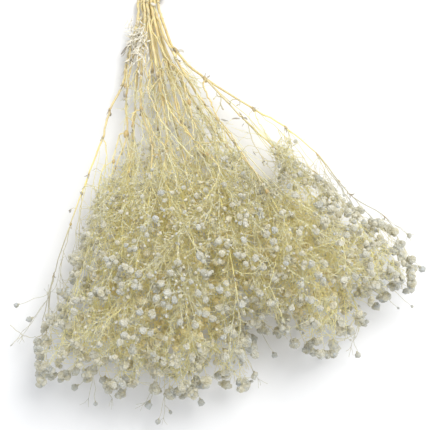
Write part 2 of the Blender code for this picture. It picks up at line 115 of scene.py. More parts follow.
# Gaps in the fringe through which the surface shows: place in plan and radius
GAPS = (
    (-43, -246, 4.5), (-27, -267, 5), (-3, -271, 4), (25, -256, 3.5), (-57, -262, 4), (-24, -234, 3),
    (116, -240, 4), (130, -240, 4), (140, -246, 3.5), (145, -231, 3), (61, -261, 4), (71, -267, 4),
    (-70, -256, 4), (98, -246, 3), (-12, -283, 3.5), (150, -218, 3), (12, -276, 4), (44, -268, 3.5),
)

# Patches where the top florets are missing and the straw inside shows, golden with its painted glow: place in
# plan and radius
PATCHES = (
    (-29, -222, 11), (60, -193, 12), (23, -249, 9), (140, -218, 10), (116, -217, 7), (109, -153, 9),
    (-20, -166, 7), (89, -206, 6), (8, -236, 6), (41, -241, 6), (79, -177, 6), (166, -182, 8),
    (28, -178, 7), (-3, -188, 7), (129, -183, 6), (70, -232, 6), (-45, -205, 7),
)
PATCH_DEPTH = 34.0
PATCH_SINKING = 9.0

# Forks without florets: in the upper part by chance, and where they stand out past the outline, with their
# place in plan, height, number of hairs and length
BARE_CLUSTERS = 240
BARE_ZONE = (60.0, 160.0)
BARE_HEIGHT = 92.0
BARE_HAIRS = (2, 3, 4)
BARE_LENGTHS = (5.0, 14.0)
BARE_FORKS = (
    (-91, -242, 22, 3, 8), (-43, -287, 22, 3, 9), (11, -301, 26, 3, 8), (-2, -290, 30, 3, 9),
    (152, -234, 34, 4, 9), (79, -273, 30, 3, 8), (99, -107, 54, 14, 11), (72, -96, 44, 3, 14),
    (-72, -214, 36, 3, 9), (146, -250, 26, 3, 8), (-26, -287, 30, 3, 9), (186, -168, 46, 2, 8),
    (107, -122, 56, 9, 9), (114, -129, 58, 9, 9), (122, -134, 60, 9, 9), (131, -140, 60, 8, 9),
    (104, -133, 66, 9, 10), (140, -148, 60, 8, 9), (116, -140, 70, 9, 10), (150, -156, 58, 7, 8),
)

# Florets: radius near the waist, in the middle and in the fringe, where it grows, and how much it varies
GROWING_ZONE = (90.0, 210.0)
NEAR_RADIUS = 1.2
MIDDLE_RADIUS = 1.95
FRINGE_RADIUS = 2.45
SIZE_SPREAD = 0.5
STALK_LENGTHS = (3.0, 7.0)
FRINGE_STALKS = 0.7
STALK_LEANS = (math.radians(18), math.radians(60))
STALK_TRIES = 8
TRY_SHORTENING = 0.08
TURN_SPREAD = 0.6
BARE_SHARES = (0.6, 1.15)
PALE_BIAS = 1.5
FACING_UP = 0.3
BUD_SHARE = 0.14
BUD_SIZE = 0.6
# Florets are plain from COVERED below the top of the cloud on. Over that depth, where it is far enough from
# the waist, straw gets a painted golden glow of light bounced inside the heads, and petals do over the same
# length from SHALLOW on.
COVERED = 30.0
SHALLOW = 8.0
PAINTED_GLOW_ZONE = (90.0, 150.0)

# Twigs thicken with the stalks that they carry, and keep part of their old heading at a fork
HAIR_RADIUS = 0.17
TWIG_RADIUS = 0.18
THICKENING = 0.23
TWIG_THINNING = ((60, 1.0), (120, 0.8), (190, 0.6))
HEADING_KEPT = 0.45
FORK_SHARE = 0.5
FORK_LIMIT = 0.75
FORK_SHIFTS = (0.85, 1.1)
FORK_JOINTS = (0.1, 0.6)
BOW = 0.14
BEND_LENGTH = 11.0
KNUCKLE_STALKS = 16
KNUCKLE_SWELL = 1.5
KNUCKLE_REACH = 2.2
BRANCH_LEAN = math.radians(12)
TIP_LEAN_SHARE = 0.5
TIP_LEAN_LIMIT = math.radians(65)
WORST_COST = 100.0
LENGTH_COST = 0.26
GROUP_SIZE = 16

# Fine side branches along the twigs, half of them forked, some with a bud
SIDE_STEP = 1.45
SIDE_ZONE = (98.0, 165.0)
SIDE_LENGTHS = (4.0, 13.0)
STRAIGHT_HAIR = 8.0
SIDE_LEANS = (math.radians(22), math.radians(75))
SIDE_FORKS = 0.5
SIDE_DEPTHS = (6.0, 36.0)
SIDE_SINKING = 24.0
SINKING_BAND = 40.0
SIDE_SHARE_OUTSIDE = 0.3
SIDE_BUDS = 0.15
SIDE_BUD_RADIUS = 0.95
BUD_SHARES = (0.7, 1.3)
FORK_PLACES = (0.4, 0.7)
FORK_LENGTH = 0.5

# Crooked side stems that cross between the main stems of the upper part
SIDE_STEM_STEP = 16.0
SIDE_STEM_ZONE = (34.0, 150.0)
SIDE_STEM_RADII = (0.24, 0.42)
SIDE_STEM_LEANS = (math.radians(15), math.radians(48))
SIDE_STEM_BENDS = (0.1, 0.5)
SIDE_STEM_STRETCH = (5.0, 12.0)
SIDE_STEM_JOINTS = 3
SIDE_STEM_THINNING = 0.85

# Main stems: their radius at some distances from the waist, and how crooked and knotty they are
STEM_RADIUS = 1.15
STEM_THINNING = ((0, 1.15), (50, 1.04), (100, 0.78), (150, 0.54), (220, 0.36), (300, 0.26))
ARM_SHARE = 0.8
WAIST_Y = -1.0
WAIST_SPREAD = 0.8
WAIST_SHIFT = -1.2
JOINT_SWELL = 1.25
WOBBLE = 0.5
STEM_SHARES = (0.82, 1.08)
KNUCKLE_SIZES = (1.15, 1.45)
FIRST_KNUCKLE = 25.0
BRACT_LENGTHS = (2.0, 4.5)
BRACT_LEAN = math.radians(42)
# A curve has extra points at these distances from the joints of a long stretch, and swells that near to one
LONG_STRETCH = 12.0
NEAR_JOINT = (1.3, 2.8)
JOINT_REACH = 2.6
# Pale shreds of dry skin in a tangle at the left of the waist: their number, and how far the tangle spreads.
# Their heading in the plan, in degrees, is given by its middle and its spread.
SHREDS = 120
SHRED_MIDDLE = (-7.5, -27.0)
SHRED_SPREAD = (3.2, 7.5)
SHRED_LENGTHS = (5.0, 10.5)
SHRED_HEADING = (262, 28)
SHRED_RISES = (-0.3, 0.5)
SHRED_HEIGHTS = (1, 5)
# How much farther a stem may be seen for every millimetre that it is higher, where things hang on top ones
ON_TOP = 0.2

# Side stems and twigs that stand out from the rest, by spray: height of the far end, first and last radius,
# and the way in plan, which starts at a stem. Those from SERVING_RADIUS on carry clusters too.
TRACED = {
    "left_rim": (
        (42, 0.42, 0.26, ((-34, -100), (-30.5, -105), (-30.5, -115), (-33.5, -124), (-36.5, -141))),
        (44, 0.3, 0.2, ((-49.5, -138), (-46, -134.5), (-39, -134.5), (-36.5, -142.5), (-34.5, -152.5))),
        (34, 0.3, 0.2, ((-49.5, -138), (-48.5, -149), (-49.5, -165.5), (-50.5, -181.5), (-52, -198))),
        (38, 0.17, 0.15, ((-51, -157.5), (-47.5, -158.5), (-42, -157))),
        (36, 0.17, 0.15, ((-52.5, -149), (-55.5, -150.5), (-57, -153.5))),
        (30, 0.2, 0.16, ((-33.5, -124), (-38, -121.5), (-40.5, -123))),
        (26, 0.28, 0.2, ((-76, -232), (-76, -239), (-78.5, -242.5), (-89.5, -242), (-99.5, -234))),
        (22, 0.17, 0.15, ((-89.5, -242), (-95, -245), (-98.5, -249))),
    ),
    "left_middle": (
        (56, 0.5, 0.3, ((-16, -97), (-20, -96.5), (-23, -105), (-25, -116), (-26, -129.5), (-29, -144))),
        (44, 0.32, 0.2, ((-25, -116), (-30, -119), (-33.5, -124), (-36, -135.5))),
        (24, 0.6, 0.42, ((-5.8, -10), (-8.6, -21), (-10.8, -27.5), (-13.5, -40), (-15.3, -52),
            (-16.6, -62))),
        (98, 0.34, 0.28, ((-17, -140), (-18.5, -159), (-19, -172), (-19, -186))),
    ),
    "left_high": (
        (52, 0.5, 0.32, ((-5, -79), (-11, -82), (-11, -90.5), (-10, -102), (-11, -119.5), (-12, -137))),
        (86, 0.48, 0.28, ((-5, -79), (-1.5, -84), (5, -98), (9.5, -103), (13, -109.5), (17, -119.5),
            (19.5, -128))),
        (94, 0.45, 0.26, ((0.5, -94.5), (3.5, -100), (6, -112.5), (3, -122.5), (1.5, -126.5),
            (3.5, -137.5), (11.5, -152.5))),
        (30, 0.55, 0.4, ((2.2, -12), (-2, -24), (-6.5, -36), (-7.5, -48), (-9.5, -60))),
        (106, 0.34, 0.24, ((-13, -214), (-20, -223), (-29, -230.5), (-33.5, -240))),
    ),
    "middle_high": (
        (31, 0.62, 0.45, ((-5.8, -10), (-1.4, -27), (-1.4, -36), (-2.2, -49.5), (0.7, -57.5))),
        (96, 0.62, 0.3, ((6.5, -65.5), (11, -70), (15, -78.5), (18.5, -84), (23, -90), (31.5, -99.5),
            (36, -103.5), (43, -111.5), (50.5, -120), (49.5, -129.5), (43, -141), (39, -147))),
        (62, 0.4, 0.26, ((11, -83), (9.5, -93), (8.5, -99.5), (7, -109.5))),
        (98, 0.46, 0.24, ((13, -90), (13.5, -103.5), (13, -111), (11.5, -120), (11.5, -131), (15.5, -138),
            (18.5, -149))),
        (112, 0.32, 0.24, ((22, -186), (11.5, -188.5), (2.5, -197.5), (-5, -204), (-15, -205.5))),
        (114, 0.34, 0.26, ((19, -150), (28, -156), (30.5, -167), (35.5, -188.5), (35.5, -201.5))),
    ),
    "right_high": (
        (40, 0.62, 0.42, ((-2.9, -6.5), (1.8, -19.8), (6.2, -27.5), (11.5, -39.5), (17.3, -47.5),
            (21.6, -52), (25, -59.5), (27, -70.5))),
        (68, 0.58, 0.3, ((16.5, -43), (21.5, -50.5), (24.5, -55.5), (26.5, -65.5), (29.5, -74), (31, -82),
            (34.5, -93), (37.5, -103.5), (42.5, -114))),
        (112, 0.32, 0.24, ((97, -165), (92, -177), (101.5, -193.5), (108, -199), (116, -204))),
        (108, 0.32, 0.26, ((112, -184), (122, -178), (131, -175.5), (140.5, -171))),
        (106, 0.32, 0.22, ((140.5, -171), (141, -180), (142, -190.5), (134.5, -197.5))),
        (102, 0.31, 0.22, ((142, -190.5), (146, -197), (149, -203))),
        (106, 0.31, 0.24, ((100, -172), (93.5, -184), (90, -196), (87, -206), (83, -208.5))),
        (98, 0.31, 0.22, ((87, -206), (91, -215), (95.5, -225), (98, -233))),
    ),
    "middle_right_high": (
        (42, 0.55, 0.4, ((6.2, -27.5), (10, -36), (14.4, -50), (18.7, -65), (23, -80))),
        (66, 0.5, 0.3, ((8.5, -43), (13.5, -52.5), (18.5, -60), (22.5, -67.5), (26.5, -77), (31.5, -85.5),
            (32.5, -98), (36, -108))),
        (58, 0.5, 0.3, ((4.5, -43), (8.5, -52.5), (11, -63.5), (13.5, -75), (16, -88))),
        (110, 0.31, 0.22, ((62, -194), (70.5, -197), (77.5, -196), (81.5, -189))),
    ),
    "middle_low": (
        (50, 0.6, 0.45, ((2, -29.5), (3, -42), (1, -50.5), (1, -56), (-0.5, -63.5), (0.5, -69))),
        (82, 0.48, 0.26, ((0.5, -69), (4.5, -78), (8, -85), (11.5, -90), (20, -100), (26.5, -107.5),
            (31.5, -113))),
    ),
    "right_middle": (
        (60, 0.5, 0.28, ((16.5, -46), (24, -57.5), (32.5, -72), (40.5, -83), (43, -90.5), (47.5, -100),
            (49, -109.5))),
    ),
    "right_rim": (
        (52, 0.62, 0.5, ((40.5, -57), (39.5, -60), (41, -65.5), (45.5, -75), (50, -85.5))),
        (62, 0.4, 0.24, ((50, -85.5), (48.5, -93), (49, -109.5), (51, -121))),
        (74, 0.5, 0.28, ((50, -85.5), (56.5, -93), (62, -101), (66, -109.5), (69, -115), (74, -121),
            (79, -126), (91.5, -139))),
        (62, 0.35, 0.24, ((52, -89.5), (55, -103.5), (60, -109.5), (65.5, -115))),
        (54, 0.5, 0.28, ((19.5, -36.5), (21, -45.5), (28, -52), (29.5, -57), (34, -65), (36.5, -71.5),
            (42.5, -80.5), (46, -90.5))),
        (56, 0.36, 0.24, ((76, -79), (78, -85), (83, -93.5), (90.5, -105))),
        (50, 0.24, 0.18, ((76, -79), (72.5, -83), (75, -89.5), (79, -96))),
        (54, 0.2, 0.16, ((99.5, -92), (97, -97), (94.5, -103))),
        (78, 0.3, 0.2, ((99.5, -92), (101.5, -97), (103, -105), (105, -116), (101.5, -126),
            (99.5, -134.5), (96, -155))),
        (48, 0.26, 0.18, ((122.5, -111.5), (129, -126.5), (133.5, -134.5), (139.5, -144))),
        (50, 0.18, 0.14, ((122.5, -113), (117.5, -120), (113, -129.5))),
        (46, 0.3, 0.3, ((71, -89.5), (75.5, -103), (81.5, -112.5), (83.5, -119.5))),
        (46, 0.2, 0.15, ((80, -110), (76.5, -109.5), (75, -107.5))),
        (48, 0.2, 0.15, ((81.5, -113), (85, -115), (85.5, -118))),
        (52, 0.22, 0.16, ((66, -109.5), (71.5, -105), (79, -106.5), (89.5, -110))),
        (44, 0.16, 0.14, ((56, -93), (63.5, -98), (74, -100))),
        (90, 0.31, 0.22, ((155, -168), (161, -182.5), (162.5, -192.5), (166.5, -202.5))),
        (42, 0.3, 0.5, ((48.5, -64), (50, -69), (52.5, -70.5), (52, -75), (54, -79))),
        (40, 0.3, 0.4, ((50, -69), (47, -71.5))),
        (40, 0.3, 0.4, ((58.5, -75), (60.5, -72), (65.5, -72), (66, -75), (63.5, -76))),
    ),
}
SERVING_RADIUS = 0.35
ASHEN_RADIUS = 0.3
TWIG_ASH = 0.75
# Thick knots where stems fork: place in plan and radius. They point away from FAN_Y, where stems fan out.
KNOT_SHARE = 0.85
FAN_Y = 40
KNOTS = (
    (19.5, -36.5, 1.7), (40.5, -57, 1.9), (76, -79, 1.6), (99.5, -92, 1.2), (-16, -97.5, 2.2),
    (-5, -79, 1.7), (6, -112.5, 1.9), (13, -110.5, 1.7), (30, -74, 1.9), (50, -86, 1.6),
    (122.5, -111.5, 1), (-34, -100, 1.2), (-25, -116.5, 1.3), (-49.5, -138, 1.3), (-56, -162, 1.1),
    (106.5, -126.5, 1.3), (87, -137, 1.7), (-13.5, -144, 1.5), (1, -56, 1.3), (-18, -63.5, 1.4),
    (-11, -90.5, 1.6), (0, -2.5, 1.7), (48, -111.5, 1.2), (55.5, -106.5, 1.5), (136, -131, 0.9),
    (31.5, -85, 1.2), (43, -111.5, 1.1),
)
# Shrivelled leaves: place in plan, heading in the plan in degrees, length, kind, and how grey. One that is
# farther than SCRAP_STALK from its stem has a stalk.
SCRAP_HEIGHTS = (1, 4)
SCRAP_RISES = (-0.2, 0.35)
SCRAP_STALK = 1.5
LEAF_TURNS = (-0.7, 0.7)
LEAF_SCRAPS = (
    (-12, -30, 238, 13, 0, 1), (21, -37, 14, 6, 1, 0.5), (18, -37, 135, 4.5, 0, 0.9),
    (40.5, -56, 80, 4, 0, 0.7), (42, -56, 27, 4, 1, 0.6), (52, -86, 346, 6, 0, 0.8),
    (60, -86, 13, 6.5, 0, 1), (69, -89, 234, 3, 0, 0.9), (65, -80.5, 319, 6.5, 2, 0.1),
    (8.5, -26.5, 4, 4.5, 3, 0.8), (1.5, -2.5, 345, 5.5, 1, 0.15), (6.5, -1.5, 324, 3, 0, 0.8),
    (-17.5, -65.5, 278, 11.5, 0, 0.75), (-5, -12, 278, 5, 2, 0), (-8, -26, 299, 9, 2, 0.1),
    (-10, -31.5, 243, 5, 2, 0.3), (-1.5, -22.5, 281, 7.5, 2, 0.1), (-15, -34.5, 254, 10.5, 3, 0.4),
    (-12, -37.5, 263, 11.5, 3, 0.2), (-16.5, -42, 284, 6, 1, 0.5), (-17.5, -47.5, 279, 9, 3, 0.3),
    (-13, -32.5, 229, 6.5, 3, 0.3), (-14.5, -43, 310, 5.5, 2, 0.3), (-6, -31.5, 252, 7, 1, 0.1),
    (-3.5, -19.5, 236, 5, 2, 0), (1.5, -29, 225, 5, 2, 0.1), (21, -56, 301, 4, 1, 0.4),
    (18, -54, 349, 3.5, 2, 0.6), (84, -116, 217, 3.5, 1, 1), (85, -117.5, 297, 3, 0, 1),
    (75.5, -109.5, 307, 3.5, 0, 0.9), (59, -74, 135, 3, 0, 0.9), (98.5, -92, 243, 3, 0, 0.7),
    (-55.5, -150.5, 243, 5, 1, 0.8), (-49.5, -138, 309, 4.5, 0, 0.6), (78, -79, 34, 2.5, 0, 0.6),
)

# Where the stems run at the tie, and their cut ends
TIE_Y = 15.0
TIE_HEIGHT = 6.3
TIE_RUN = 10.0
TIE_TURNS = 3
TIE_HALF_WIDTH = 6.95
TIE_HALF_HEIGHT = 4.6
TWINE_RADIUS = 1.05
STRAND_RADIUS = TWINE_RADIUS * 0.56
STRAND_TWIST = 0.11
TURN_STEPS = 56
TAIL_STEPS = 16
KNOT_STEPS = 18
CUT_Y = 77.0
CUT_STAGGER = 4.0
CUT_SPREAD = 1.35
STEM_PITCH = 2.7
ROW_HEIGHT = STEM_PITCH * math.sqrt(0.75)

# Colours. Stems turn from pale to golden between two radii. The depth that light goes into them is in metres.
GLOW_DEPTH = 0.0012
GOLDEN_RADII = (0.2, 0.5)
GOLD_STRAW = (0.76, 0.66, 0.35, 1.0)
ORANGE_STRAW = (0.60, 0.46, 0.21, 1.0)
TAN_STRAW = (0.56, 0.48, 0.32, 1.0)
PALE_STRAW = (0.86, 0.81, 0.53, 1.0)
OLIVE_STRAW = (0.77, 0.71, 0.41, 1.0)
# Painted golden glow of light bounced between the stems, for straw deep in the heads
PAINTED_GLOW_STRAW = (0.99, 0.84, 0.34, 1.0)
# Grey of the painted shade at the fringe, also used to grey thin side twigs
SHADE_AND_GREY_STRAW = (0.46, 0.44, 0.36, 1.0)
KNUCKLE_BROWN = (0.42, 0.28, 0.12, 1.0)
PETAL_CREAM = (0.65, 0.61, 0.46, 1.0)
PETAL_WHITE = (0.68, 0.67, 0.60, 1.0)
PETAL_GREY = (0.53, 0.56, 0.59, 1.0)
PETAL_ASH = (0.40, 0.41, 0.38, 1.0)
# Painted shade in the creases between the petals
PETAL_CREASE_SHADE = (0.50, 0.46, 0.32, 1.0)
# Painted golden glow of bounced light, for petals deep in the heads
PETAL_PAINTED_GLOW = (0.90, 0.78, 0.40, 1.0)
SEPAL_STRAW = (0.52, 0.49, 0.36, 1.0)
SEPAL_PALE = (0.58, 0.56, 0.45, 1.0)
LEAF_PALE = (0.90, 0.87, 0.78, 1.0)
LEAF_STRAW = (0.76, 0.70, 0.55, 1.0)
LEAF_GREY = (0.33, 0.33, 0.32, 1.0)
LEAF_BROWN = (0.36, 0.30, 0.22, 1.0)
TWINE_LIGHT = (0.50, 0.36, 0.20, 1.0)
TWINE_DARK = (0.25, 0.16, 0.08, 1.0)
FLOOR_WHITE = (0.84, 0.84, 0.85, 1.0)


class Plan:
    """One spray as drawn: its place in the tie, counted in stem pitches and rows, and its routes."""

    def __init__(self, name, column, row, route, *arms):
        self.name = name
        self.slot = Vector((column * STEM_PITCH, TIE_Y, TIE_HEIGHT + row * ROW_HEIGHT))
        self.route = route
        self.arms = arms


# A route holds the joints of a stem: place in plan, and height. An arm starts at a joint of the route.
PLANS = (
    Plan(
        "right_rim", 2, 0,
        ((10, -14, 11), (19, -36, 16), (40, -56, 24), (75, -78, 32), (99, -92, 38), (122, -112, 43),
         (145, -140, 46), (170, -156, 45), (181, -174, 43)),
        ((40, -56, 24), (68, -85, 38), (91, -106, 50), (120, -124, 61), (140, -146, 66), (158, -172, 62)),
    ),
    Plan(
        "right_high", 1.5, 1,
        ((7, -14, 14), (20, -43, 24), (41, -76, 40), (62, -103, 56), (82, -132, 74), (97, -158, 90),
         (112, -186, 98), (126, -214, 92)),
    ),
    Plan(
        "right_middle", 1, 0,
        ((5, -14, 9), (17, -46, 14), (36, -78, 24), (60, -110, 38), (88, -140, 52), (118, -170, 60),
         (140, -200, 58), (150, -222, 50)),
    ),
    Plan(
        "right_low", 1.5, -1,
        ((6, -15, 4.6), (14, -46, 6), (30, -82, 9), (50, -120, 14), (74, -158, 20), (100, -192, 24),
         (118, -222, 24)),
        ((50, -120, 14), (90, -152, 18), (130, -178, 22), (160, -198, 22)),
    ),
    Plan(
        "middle_right_high", 0.5, 1,
        ((4, -14, 15), (14, -52, 28), (24, -88, 46), (40, -112, 60), (51, -138, 78), (56, -168, 94),
         (62, -200, 104), (66, -230, 98)),
    ),
    Plan(
        "middle_right_low", 0.5, -1,
        ((2.5, -15, 4.8), (9, -50, 7), (20, -92, 12), (32, -138, 20), (46, -182, 28), (58, -222, 30),
         (64, -254, 26)),
    ),
    Plan(
        "middle", 0, 0,
        ((1.5, -14, 9.5), (7, -50, 15), (13, -90, 28), (22, -130, 44), (30, -172, 58), (36, -212, 66),
         (38, -252, 58)),
    ),
    Plan(
        "middle_high", -0.5, 1,
        ((0.5, -14, 15.5), (7, -56, 30), (13, -90, 48), (12, -124, 70), (17, -156, 90), (23, -192, 106),
         (28, -228, 106), (30, -258, 92)),
    ),
    Plan(
        "middle_low", -0.5, -1,
        ((-1, -15, 4.8), (3, -52, 7), (7, -94, 13), (11, -142, 21), (14, -192, 28), (14, -236, 30),
         (12, -272, 26)),
    ),
    Plan(
        "left_high", -1.5, 1,
        ((-2.5, -14, 14.5), (-5, -54, 26), (-5, -80, 38), (2, -104, 54), (1, -138, 76), (-6, -178, 94),
         (-14, -218, 100), (-20, -252, 88)),
    ),
    Plan(
        "left_middle", -1, 0,
        ((-4.5, -14, 9.5), (-12, -44, 15), (-16, -70, 24), (-15, -98, 36), (-14, -126, 48), (-22, -166, 60),
         (-34, -208, 66), (-46, -246, 58)),
        ((-15, -98, 36), (-24, -122, 44), (-34, -150, 58), (-46, -186, 68), (-54, -216, 66)),
    ),
    Plan(
        "left_low", -1.5, -1,
        ((-3.5, -15, 4.6), (-8, -52, 6), (-11, -94, 12), (-17, -144, 20), (-24, -194, 25), (-34, -238, 26),
         (-40, -268, 22)),
    ),
    Plan(
        "left_rim", -2, 0,
        ((-7.5, -14, 9.5), (-14, -40, 14), (-19, -62, 20), (-28, -80, 26), (-33, -100, 32), (-43, -126, 37),
         (-56, -162, 40), (-68, -198, 40), (-76, -232, 34)),
    ),
)


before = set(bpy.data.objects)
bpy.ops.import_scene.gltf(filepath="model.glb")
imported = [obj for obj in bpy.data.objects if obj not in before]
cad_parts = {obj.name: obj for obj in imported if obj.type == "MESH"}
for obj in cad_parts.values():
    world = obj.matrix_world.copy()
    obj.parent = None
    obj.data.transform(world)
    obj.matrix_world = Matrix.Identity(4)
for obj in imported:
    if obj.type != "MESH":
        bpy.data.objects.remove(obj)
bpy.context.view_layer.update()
bpy.ops.object.select_all(action="DESELECT")

tie_low, tie_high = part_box("tie")
DRAWING_ZERO = (tie_low + tie_high) / 2 - Vector((0, TIE_Y, TIE_HEIGHT)) * MM
chance = random.Random(SEED)


def in_frame(point):
    """A point of the drawing, in millimetres, as a place in the frame, in metres."""
    return DRAWING_ZERO + point * MM


# Places of the clusters

def placed(x, y, z):
    """The point at height z that is seen at (x, y) of the plan."""
    nearer = (EYE.z - z) / (EYE.z - PLAN_HEIGHT)
    return Vector((EYE.x + (x - EYE.x) * nearer, EYE.y + (y - EYE.y) * nearer, z))


def seen_at(points):
    """The places of the plan at which points are seen."""
    points = np.array(points, float).reshape(-1, 3)
    nearer = (EYE.z - points[:, 2:]) / (EYE.z - PLAN_HEIGHT)
    eye = np.array(EYE.xy)
    return eye + (points[:, :2] - eye) / nearer


def eased(value):
    """0 below 0 and 1 above 1, smooth between."""
    value = np.clip(value, 0.0, 1.0)
    return value * value * (3 - 2 * value)


def rising(value, zone):
    """0 below the first value of a zone and 1 above the last, smooth between."""
    first, last = zone
    return eased((value - first) / (last - first))


def inset(spots):
    """How far each spot of the plan is inside the outline, or a negative number outside it."""
    start = np.array(OUTLINE, float)
    side = np.roll(start, -1, axis=0) - start
    reach = spots[:, None] - start
    share = np.clip((reach * side).sum(axis=2) / (side * side).sum(axis=1), 0, 1)
    nearest = np.linalg.norm(reach - side * share[:, :, None], axis=2).min(axis=1)
    above = start[:, 1] > spots[:, 1:]
    crosses = above != np.roll(above, -1, axis=1)
    slope = side[:, 0] / np.where(side[:, 1] == 0, 1, side[:, 1])
    beyond = start[:, 0] + slope * reach[:, :, 1] > spots[:, :1]
    inside = np.count_nonzero(crosses & beyond, axis=1) % 2 == 1
    return np.where(inside, nearest, -nearest)


def near_outline(spots, band):
    """1 at the outline and outside it, and 0 from a band's width inside it on."""
    return eased(1 - inset(spots) / band)


def clear_of_gaps(spot, radius):
    """Whether a thing of that radius at a spot of the plan leaves the gaps of the fringe open."""
    return all(math.dist(spot, (x, y)) > gap + radius for x, y, gap in GAPS)


def in_patch(spot):
    """Whether a spot of the plan is in a golden patch."""
    return any(math.dist(spot, (x, y)) < reach for x, y, reach in PATCHES)


class Cluster:
    """A fork at the end of a twig: the florets on its stalks and their radius, or its bare hairs."""

    def __init__(self, place, florets=0, radius=0.0, stalks=1.0, stray=False, hairs=0, length=0.0):
        self.place = place
        self.florets = florets
        self.radius = radius
        self.stalks = stalks
        self.stray = stray
        self.hairs = hairs
        self.length = length


def rim_places(draw):
    """A ragged row of clusters inside the outline of the heads, at the heights where the cloud is widest."""
    start = np.array(OUTLINE, float)
    side = np.roll(start, -1, axis=0) - start
    length = np.linalg.norm(side, axis=1)
    along = np.arange(0, length.sum(), RIM_SPACING)
    corner = np.searchsorted(np.cumsum(length), along)
    share = (along - (np.cumsum(length) - length)[corner]) / length[corner]
    inward = np.column_stack((side[:, 1], -side[:, 0]))[corner] / length[corner, None]
    spots = start[corner] + side[corner] * share[:, None]
    spots += inward * draw.uniform(*RIM_INSETS, (len(spots), 1))
    heights = draw.uniform(*RIM_HEIGHTS, len(spots))
    far = np.linalg.norm(spots, axis=1) > FRINGE_ZONE
    return [placed(*spot, z) for spot, z in zip(spots[far], heights[far])]


def cloud_limits(spots):
    """The lowest and the highest place of the cloud over each spot of the plan."""
    spread = eased(np.linalg.norm(spots, axis=1) / FULL_FLORETS)
    middle = TIE_HEIGHT + (MIDDLE_HEIGHT - TIE_HEIGHT) * spread
    bulge = np.sqrt(1 - (1 - np.clip(inset(spots) / ROUNDING, 0, 1)) ** 2)
    half = (TOP_HEIGHT - MIDDLE_HEIGHT) * np.maximum(bulge, LEAST_BULGE) * spread
    return np.maximum(middle - half * UNDERSIDE, CLUSTER_INSET), middle + half


def cloud_places(draw):
    """Places spread evenly through a cloud that is flat below and domed above, and thinner in the fringe."""
    low, high = np.min(OUTLINE, axis=0), np.max(OUTLINE, axis=0)
    spots = draw.uniform(low, high, (DARTS, 2))
    share, height = draw.random((2, DARTS))
    away = np.linalg.norm(spots, axis=1)
    deep = inset(spots)
    wanted = (share < rising(away, (FIRST_FLORETS, FULL_FLORETS))) & (deep > CLUSTER_INSET)
    bottom, top = cloud_limits(spots)
    heights = bottom + (top - bottom) * height
    fringe = eased(1 - deep / FRINGE) * (away > FRINGE_ZONE)
    spacing = CLUSTER_SPACING * (1 + FRINGE_THINNING * fringe)
    first = [place for place in rim_places(draw) if clear_of_gaps(seen_at(place)[0], 0)]
    count = len(first)
    found = np.empty((DARTS, 3))
    found[:count] = first
    for spot, z, least, high in zip(spots[wanted], heights[wanted], spacing[wanted], top[wanted]):
        if high - z < PATCH_DEPTH and in_patch(spot):
            continue
        place = placed(*spot, z)
        near = found[:count] - place
        if (near * near).sum(axis=1).min() > least ** 2 and clear_of_gaps(spot, 0):
            found[count] = place
            count += 1
    return found[:count]


def bare_places(draw):
    """Places of forks without florets, near the stems of the upper part."""
    low, high = np.min(OUTLINE, axis=0), np.max(OUTLINE, axis=0)
    spots = draw.uniform(low, high, (DARTS, 2))
    away = np.linalg.norm(spots, axis=1)
    first, last = BARE_ZONE
    spots = spots[(away > first) & (away < last) & (inset(spots) > 1)][:BARE_CLUSTERS]
    spread = eased(np.linalg.norm(spots, axis=1) / FULL_FLORETS)
    heights = TIE_HEIGHT + BARE_HEIGHT * spread * draw.random(len(spots))
    return [placed(*spot, z) for spot, z in zip(spots, heights)]


def all_clusters():
    """Every cluster of the bunch. Florets are small near the waist, and grow towards the far ends."""
    draw = np.random.default_rng(SEED)
    places = cloud_places(draw)
    away = np.linalg.norm(seen_at(places), axis=1)
    radii = NEAR_RADIUS + (MIDDLE_RADIUS - NEAR_RADIUS) * rising(away, GROWING_ZONE)
    fringe = near_outline(seen_at(places), WIDE_FRINGE) * rising(away, FRINGE_RISE)
    radii += (FRINGE_RADIUS - radii) * fringe
    clusters = []
    spots = [(x, y) for x, y, _ in TOP_FLORETS]
    tops = [placed(*spot, z) for spot, z in zip(spots, cloud_limits(np.array(spots, float))[1])]
    for place, (_, _, radius) in zip(tops, TOP_FLORETS):
        clusters.append(Cluster(place, 1, radius, stray=True))
    for place, far, radius, edge in zip(places, away, radii, fringe):
        if min((top - Vector(place)).length for top in tops) < TOP_ROOM:
            continue
        sizes = CLUSTER_SIZES if far > FULL_FLORETS else SPARSE_SIZES
        if edge > 0.5:
            sizes = FRINGE_SIZES
        stalks = 1 + (FRINGE_STALKS - 1) * edge
        clusters.append(Cluster(Vector(place), chance.choice(sizes), radius, stalks))
    for x, y, z, size in STRAY_FLORETS:
        clusters.append(Cluster(placed(x, y, z), 1, STRAY_RADIUS * size, stray=True))
    for x, y, z, hairs, length in BARE_FORKS:
        clusters.append(Cluster(placed(x, y, z), hairs=hairs, length=length))
    for place in bare_places(draw):
        clusters.append(Cluster(place, hairs=chance.choice(BARE_HAIRS), length=chance.uniform(*BARE_LENGTHS)))
    return clusters


# Growth of a spray

class Stem:
    """A stem or side stem: its points, how many are on the straight run at the tie, and its radius."""

    def __init__(self, points, plain=1, share=1.0, ends=None):
        self.points = points
        self.plain = plain
        self.share = share
        self.ends = ends
        # Thin side stems are greyed in the same mix as the painted shade of the fringe.
        self.ash = TWIG_ASH if ends and ends[0] <= ASHEN_RADIUS else 0.0

    def radius(self, place, way):
        """Its radius at a place, after that share of its way."""
        if self.ends:
            first, last = self.ends
            return first + (last - first) * way
        return float(np.interp(place.xy.length, *zip(*STEM_THINNING))) * self.share

    def serves(self):
        return not self.ends or self.ends[0] >= SERVING_RADIUS


